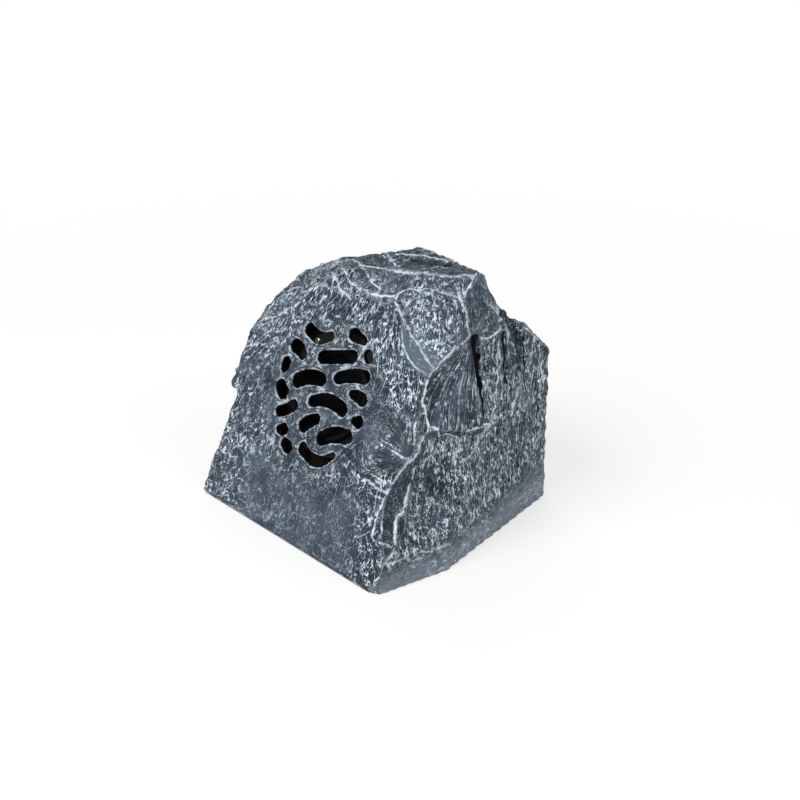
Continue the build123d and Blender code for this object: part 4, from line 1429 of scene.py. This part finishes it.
def new_piece(name: str, form: bmesh.types.BMesh, finish: PartFinish) -> bpy.types.Object:
    """Turns a form into a smooth shaded piece.

    Args:
        name: The piece's name.
        form: Its shape in metres, which is freed.
        finish: Its finish.

    Returns:
        The piece.
    """
    bmesh.ops.recalc_face_normals(form, faces=form.faces)
    mesh = bpy.data.meshes.new(name)
    form.to_mesh(mesh)
    form.free()
    mesh.materials.append(finish.material())
    mesh.shade_smooth()
    mesh.set_sharp_from_angle(angle=math.radians(35))
    piece = bpy.data.objects.new(name, mesh)
    bpy.context.scene.collection.objects.link(piece)
    return piece


def points_of(node: str) -> np.ndarray:
    """Gives the points of a CAD node in millimetres, one row each."""
    return MeshSurface(frame["nodes"][node].data).places()


@dataclass(frozen=True)
class DriverAxis:
    """The line that the driver is turned about."""

    place: Vector
    way: Vector

    @classmethod
    def found(cls) -> "DriverAxis":
        """Finds the axis from the joint and the magnet's box."""
        low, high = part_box("magnet")
        return cls((Vector(low) + Vector(high)) / 2 / MM, Vector(frame["joints"][0]["axis"]).normalized())

    def heights(self, node: str) -> np.ndarray:
        """Gives how far along the axis a node's points lie, in millimetres."""
        return (points_of(node) - np.array(self.place)) @ np.array(self.way)

    def radii(self, places: np.ndarray) -> np.ndarray:
        """Gives how far from the axis points lie, in millimetres."""
        off, way = places - np.array(self.place), np.array(self.way)
        return np.linalg.norm(off - np.outer(off @ way, way), axis=1)

    def turned(self, outline: list[tuple[float, float]], sides: int = 96) -> bmesh.types.BMesh:
        """Turns a closed outline about the axis.

        Args:
            outline: Radius and height of each corner, in millimetres.
            sides: How many steps there are to a turn.

        Returns:
            The ring.
        """
        form = bmesh.new()
        turn = self.way.to_track_quat("Z", "Y").to_matrix()
        rings = []
        for i in range(sides):
            angle = 2 * math.pi * i / sides
            flat = Vector((math.cos(angle), math.sin(angle), 0))
            offs = [flat * radius + Vector((0, 0, height)) for radius, height in outline]
            rings.append([form.verts.new((self.place + turn @ off) * MM) for off in offs])
        for i, ring in enumerate(rings):
            beside = rings[(i + 1) % sides]
            for j in range(len(outline)):
                k = (j + 1) % len(outline)
                form.faces.new((ring[j], beside[j], beside[k], ring[k]))
        return form


@dataclass
class SubAssembly:
    """CAD nodes that keep their shape and take a finish."""

    finishes: dict[str, PartFinish]

    def build(self) -> list[str]:
        """Dresses each node.

        Returns:
            The names of the dressed nodes.
        """
        for node, finish in self.finishes.items():
            skin = frame["nodes"][node].data
            skin.materials.clear()
            skin.materials.append(finish.material())
        return list(self.finishes)


@dataclass
class FlexRing:
    """A thin ring that bends between the cabinet and the moving cone."""

    name: str
    node: str
    slot: str
    finish: PartFinish
    line: list[tuple[float, float]]
    skin: float
    moving_radius: float
    fixed_radius: float

    def build(self) -> str:
        """Turns the ring.

        Returns:
            The piece's name.
        """
        axis = DriverAxis.found()
        foot = axis.heights(self.node).min()
        under = [(radius, foot + height) for radius, height in self.line]
        over = [(radius, height + self.skin) for radius, height in reversed(under)]
        piece = new_piece(self.name, axis.turned(under + over), self.finish)
        middle = axis.place * MM
        middle + axis.way * MM
        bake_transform(piece)
        radii = axis.radii(MeshSurface(piece.data).places())
        share = 1 - smoothstep(self.moving_radius, self.fixed_radius, radii)
        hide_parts(self.node)
        return piece.name


@dataclass
class ScrewSet:
    """Pan head screws with a cross recess."""

    name: str
    node: str
    way: Vector
    count: int
    head_radius: float = 3.6
    head_height: float = 2.2
    shank_radius: float = 2.0
    sides: int = 32
    head_side: float = 0.55
    head_turn_in: float = 0.93
    head_flat: float = 0.80
    recess_arm: float = 0.52
    recess_half: float = 0.13
    recess_depth: float = 0.6

    def places(self) -> list[tuple[Vector, float, float]]:
        """Finds the screws.

        Returns:
            A point on each screw's axis, and how far along the axis it starts and ends, in millimetres.
        """
        points = points_of(self.node)
        turn = np.array(self.way.to_track_quat("Z", "Y").to_matrix())
        local = points @ turn
        left, found = local, []
        for _ in range(self.count):
            near = np.linalg.norm(left[:, :2] - left[0, :2], axis=1) < 2.5 * self.head_radius
            one, left = left[near], left[~near]
            middle = (one[:, :2].min(axis=0) + one[:, :2].max(axis=0)) / 2
            found.append((Vector(turn @ np.array((*middle, 0))), one[:, 2].min(), one[:, 2].max()))
        return found

    def add(self, form: bmesh.types.BMesh, place: Vector, low: float, high: float) -> None:
        """Adds one screw.

        Args:
            form: The shape it is added to.
            place: A point on its axis.
            low: How far along the axis its tip is.
            high: How far along the axis its head ends.
        """
        turn = self.way.to_track_quat("Z", "Y").to_matrix()
        seat = high - self.head_height

        def point(across: float, over: float, height: float) -> bmesh.types.BMVert:
            """Adds a corner, given in the screw's own frame."""
            return form.verts.new((place + turn @ Vector((across, over, height))) * MM)

        def ring(radius: float, height: float) -> list[bmesh.types.BMVert]:
            """Adds a ring of corners."""
            angles = [2 * math.pi * i / self.sides for i in range(self.sides)]
            return [point(radius * math.cos(a), radius * math.sin(a), height) for a in angles]

        full, thin = self.head_radius, self.shank_radius
        side, turn_in = seat + self.head_side * self.head_height, self.head_turn_in * full
        outline = [(0.8 * thin, low), (thin, low + 0.4), (thin, seat), (full, seat)]
        outline += [(full, side), (turn_in, high - 0.25), (self.head_flat * full, high)]
        rings = [ring(radius, height) for radius, height in outline]
        for first, second in zip(rings, rings[1:]):
            for i in range(self.sides):
                k = (i + 1) % self.sides
                form.faces.new((first[i], first[k], second[k], second[i]))
        form.faces.new(rings[0])
        arm, wide = self.recess_arm * full, self.recess_half * full
        corner = [(wide, wide), (wide, arm), (-wide, arm), (-wide, wide), (-arm, wide), (-arm, -wide)]
        corner += [(-x, -y) for x, y in corner]
        rim = [point(x, y, high) for x, y in corner]
        floor = [point(x, y, high - self.recess_depth * self.head_height) for x, y in corner]
        for i in range(len(corner)):
            k = (i + 1) % len(corner)
            form.faces.new((rim[i], rim[k], floor[k], floor[i]))
        form.faces.new(floor)
        loops = [(loop[i - 1], loop[i]) for loop in (rings[-1], rim) for i in range(len(loop))]
        edges = [form.edges.get(ends) for ends in loops]
        bmesh.ops.triangle_fill(form, edges=edges, use_beauty=True)

    def build(self) -> str:
        """Makes the screws.

        Returns:
            The piece's name.
        """
        form = bmesh.new()
        for place, low, high in self.places():
            self.add(form, place, low, high)
        piece = new_piece(self.name, form, ZINC_STEEL)
        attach(piece, CABINET)
        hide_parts(self.node)
        return piece.name


@dataclass
class Driver(SubAssembly):
    """Full range driver on its baffle board."""

    finishes: dict[str, PartFinish] = field(default_factory=lambda: {
        "baffle_board": FIBREBOARD,
        "driver_gasket": SEAL_FOAM,
        "basket": BLACK_STEEL,
        "cone": CARD_BLACK,
        "dust_cap": CARD_BLACK,
        "voice_coil": COPPER_COIL,
        "top_plate": ZINC_STEEL,
        "magnet": FERRITE,
        "yoke": ZINC_STEEL,
    })
    cone_radius: float = 44.0
    cone_rim: float = 3.0
    opening_radius: float = 52.0
    landing: float = 4.0
    roll_rise: float = 5.0
    roll_steps: int = 16
    surround_skin: float = 0.8
    former_radius: float = 12.9
    spider_radius: float = 32.0
    ledge_radius: float = 37.0
    spider_wave: float = 2.0
    spider_skin: float = 0.6
    spider_folds: int = 4
    fold_steps: int = 12

    def surround(self) -> FlexRing:
        """Lays out the half roll between the cone and the basket.

        Returns:
            The ring, not yet built.
        """
        middle = (self.cone_radius + self.opening_radius) / 2
        half = (self.opening_radius - self.cone_radius) / 2
        line = [(self.cone_radius - self.cone_rim, 0.0)]
        for i in range(self.roll_steps + 1):
            angle = math.pi * (1 - i / self.roll_steps)
            line.append((middle + half * math.cos(angle), self.roll_rise * math.sin(angle)))
        line.append((self.opening_radius + self.landing, 0.0))
        sizes = (self.surround_skin, self.cone_radius, self.opening_radius)
        return FlexRing("surround_roll", "surround", "rubber", ROLL_RUBBER, line, *sizes)

    def spider(self) -> FlexRing:
        """Lays out the corrugated disc that centres the coil.

        Returns:
            The ring, not yet built.
        """
        step = (self.spider_radius - self.former_radius) / self.spider_folds
        line = []
        for i in range(self.spider_folds * self.fold_steps + 1):
            way = i / self.fold_steps
            height = self.spider_wave * (1 - math.cos(math.pi * way)) / 2
            line.append((self.former_radius + way * step, height))
        line.append((self.ledge_radius, 0.0))
        sizes = (self.spider_skin, self.former_radius, self.spider_radius)
        return FlexRing("spider_disc", "spider", "impregnated_cloth", COIL_CLOTH, line, *sizes)

    def build(self) -> list[str]:
        """Builds the flexible rings and the screws, and dresses the rest.

        Returns:
            The names of the pieces and nodes.
        """
        way = DriverAxis.found().way
        flange_screws = ScrewSet("flange_screws", "driver_screws", way, 4)
        board_screws = ScrewSet("board_screws", "baffle_screws", -way, 8)
        made = [part.build() for part in (self.surround(), self.spider(), flange_screws, board_screws)]
        return made + super().build()


@dataclass
class Wiring(SubAssembly):
    """Leads from the terminal block to the driver."""

    finishes: dict[str, PartFinish] = field(default_factory=lambda: {
        "terminal_strip": FIBRE_STRIP,
        "terminal_tags": BRASS,
        "positive_lead": RED_LEAD,
        "negative_lead": BLACK_LEAD,
        "terminal_block": NYLON,
    })

    def build(self) -> list[str]:
        """Builds the block's screws, dresses the rest and gives all their names."""
        screws = ScrewSet("terminal_screws", "block_screws", Vector((0, 0, 1)), 2, 2.8, 1.6, 1.5)
        return [screws.build()] + super().build()


@dataclass
class Foot(SubAssembly):
    """Plate that closes the boulder from below."""

    finishes: dict[str, PartFinish] = field(default_factory=lambda: {
        "base_plate": NYLON,
        "base_gasket": SEAL_FOAM,
        "threaded_inserts": BRASS,
    })

    def build(self) -> list[str]:
        """Builds the plate's screws, dresses the rest and gives all their names."""
        screws = ScrewSet("plate_screws", "base_screws", Vector((0, 0, -1)), 6)
        return [screws.build()] + super().build()


@dataclass
class CableEntry(SubAssembly):
    """Cable gland at the foot of the back."""

    finishes: dict[str, PartFinish] = field(default_factory=lambda: {
        "gland_body": NYLON,
        "gland_seal": SEAL_RUBBER,
        "gland_dome_nut": NYLON,
        "gland_lock_nut": NYLON,
    })


@dataclass(frozen=True)
class Lamp:
    """A soft square lamp: its bearing and height in degrees, its side in metres and its power in watts."""

    name: str
    azimuth: float
    elevation: float
    size: float
    power: float

    def hang(self, target: Vector, distance: float) -> None:
        """Adds the lamp to the scene.

        Args:
            target: What it looks at.
            distance: How far away it hangs, in metres.
        """
        light = bpy.data.lights.new(self.name, "AREA")
        light.size = self.size
        light.energy = self.power
        lamp = bpy.data.objects.new(self.name, light)
        back = way_to(self.azimuth, self.elevation)
        lamp.location = target + back * distance
        lamp.rotation_mode = "QUATERNION"
        lamp.rotation_quaternion = (-back).to_track_quat("-Z", "Y")
        bpy.context.scene.collection.objects.link(lamp)


@dataclass
class Studio:
    """Floor, soft lamps and the camera."""

    view: Viewpoint = Viewpoint()
    sensor: float = 36.0
    lamps: tuple[Lamp, ...] = (
        Lamp("key", -8, 52, 1.0, 25),
        Lamp("side", 110, 40, 1.2, 11),
        Lamp("rear", 225, 45, 1.2, 9),
    )
    lamp_distance: float = 1.9
    floor_size: float = 12.0
    floor_colour: Colour = (0.90, 0.90, 0.90)
    sky: float = 0.38
    floor_gap: float = 0.4
    white_reach: tuple[float, float] = (300.0, 1100.0)
    seen_rays: tuple[str, ...] = ("Is Camera Ray", "Is Glossy Ray", "Is Transmission Ray")

    def camera(self) -> None:
        """Sets the camera at the photograph's angle."""
        seen = bpy.data.cameras.new("camera")
        seen.sensor_width = self.sensor
        seen.lens = self.sensor / 2 / math.tan(math.radians(self.view.view_angle) / 2)
        eye = bpy.data.objects.new("camera", seen)
        back = way_to(self.view.azimuth, self.view.elevation)
        eye.location = self.view.eye()
        eye.rotation_mode = "QUATERNION"
        eye.rotation_quaternion = (-back).to_track_quat("-Z", "Y")
        bpy.context.scene.collection.objects.link(eye)
        bpy.context.scene.camera = eye

    def floor(self) -> None:
        """Lays the pale floor."""
        form = bmesh.new()
        bmesh.ops.create_grid(form, x_segments=8, y_segments=8, size=self.floor_size / 2)
        mesh = bpy.data.meshes.new("floor")
        form.to_mesh(mesh)
        form.free()
        laid = bpy.data.objects.new("floor", mesh)
        laid.location.z = -self.floor_gap * MM
        bpy.context.scene.collection.objects.link(laid)
        board = NodeBoard("floor_paint")
        dull = tuple(0.985 * part for part in self.floor_colour)
        colour = board.mixed(board.noise(board.place, 180), painted(dull), painted(self.floor_colour))
        material = board.finish(colour, 0.9, Specular_IOR_Level=0.1)
        paths = board.node("ShaderNodeLightPath", {}).outputs
        seen = reduce(Value.larger, (Value(board, paths[name]) for name in self.seen_rays))
        white = board.value("ShaderNodeEmission", {"Color": (1, 1, 1, 1), "Strength": 1.0})
        share = seen * board.place.length().ease(*self.white_reach, 0.6, 1.0)
        plain = Value(board, board.surface.outputs[0])
        mix = board.value("ShaderNodeMixShader", {0: share, 1: plain, 2: white})
        board.feed(board.tree.nodes["Material Output"].inputs["Surface"], mix)
        mesh.materials.append(material)

    def world(self) -> None:
        """Sets the even light all round and the white backdrop."""
        world = bpy.data.worlds.new("studio")
        world.use_nodes = True
        bpy.context.scene.world = world
        tree = world.node_tree
        path = tree.nodes.new("ShaderNodeLightPath").outputs
        rays = path[self.seen_rays[0]]
        for name in self.seen_rays[1:]:
            either = tree.nodes.new("ShaderNodeMath")
            either.operation = "MAXIMUM"
            tree.links.new(rays, either.inputs[0])
            tree.links.new(path[name], either.inputs[1])
            rays = either.outputs[0]
        strength = tree.nodes.new("ShaderNodeMapRange")
        strength.inputs["To Min"].default_value = self.sky
        strength.inputs["To Max"].default_value = 1.0
        tree.links.new(rays, strength.inputs["Value"])
        ground = tree.nodes["Background"]
        ground.inputs["Color"].default_value = (1, 1, 1, 1)
        tree.links.new(strength.outputs[0], ground.inputs["Strength"])

    def build(self) -> None:
        """Sets up the whole studio."""
        bpy.context.scene.view_settings.view_transform = "Standard"
        self.camera()
        self.floor()
        self.world()
        for lamp in self.lamps:
            lamp.hang(Vector(self.view.target), self.lamp_distance)


def main() -> None:
    """Builds and dresses each sub-assembly."""
    logging.basicConfig(level=logging.INFO, format="%(message)s")
    skin = Boulder().build()
    LOG.info("%s: %d faces", skin.name, len(skin.data.polygons))
    for part in (Driver(), Wiring(), Foot(), CableEntry()):
        LOG.info("%s: %s", type(part).__name__, ", ".join(part.build()))
    Studio().build()
    LOG.info("studio set")


if __name__ == "__main__":
    main()
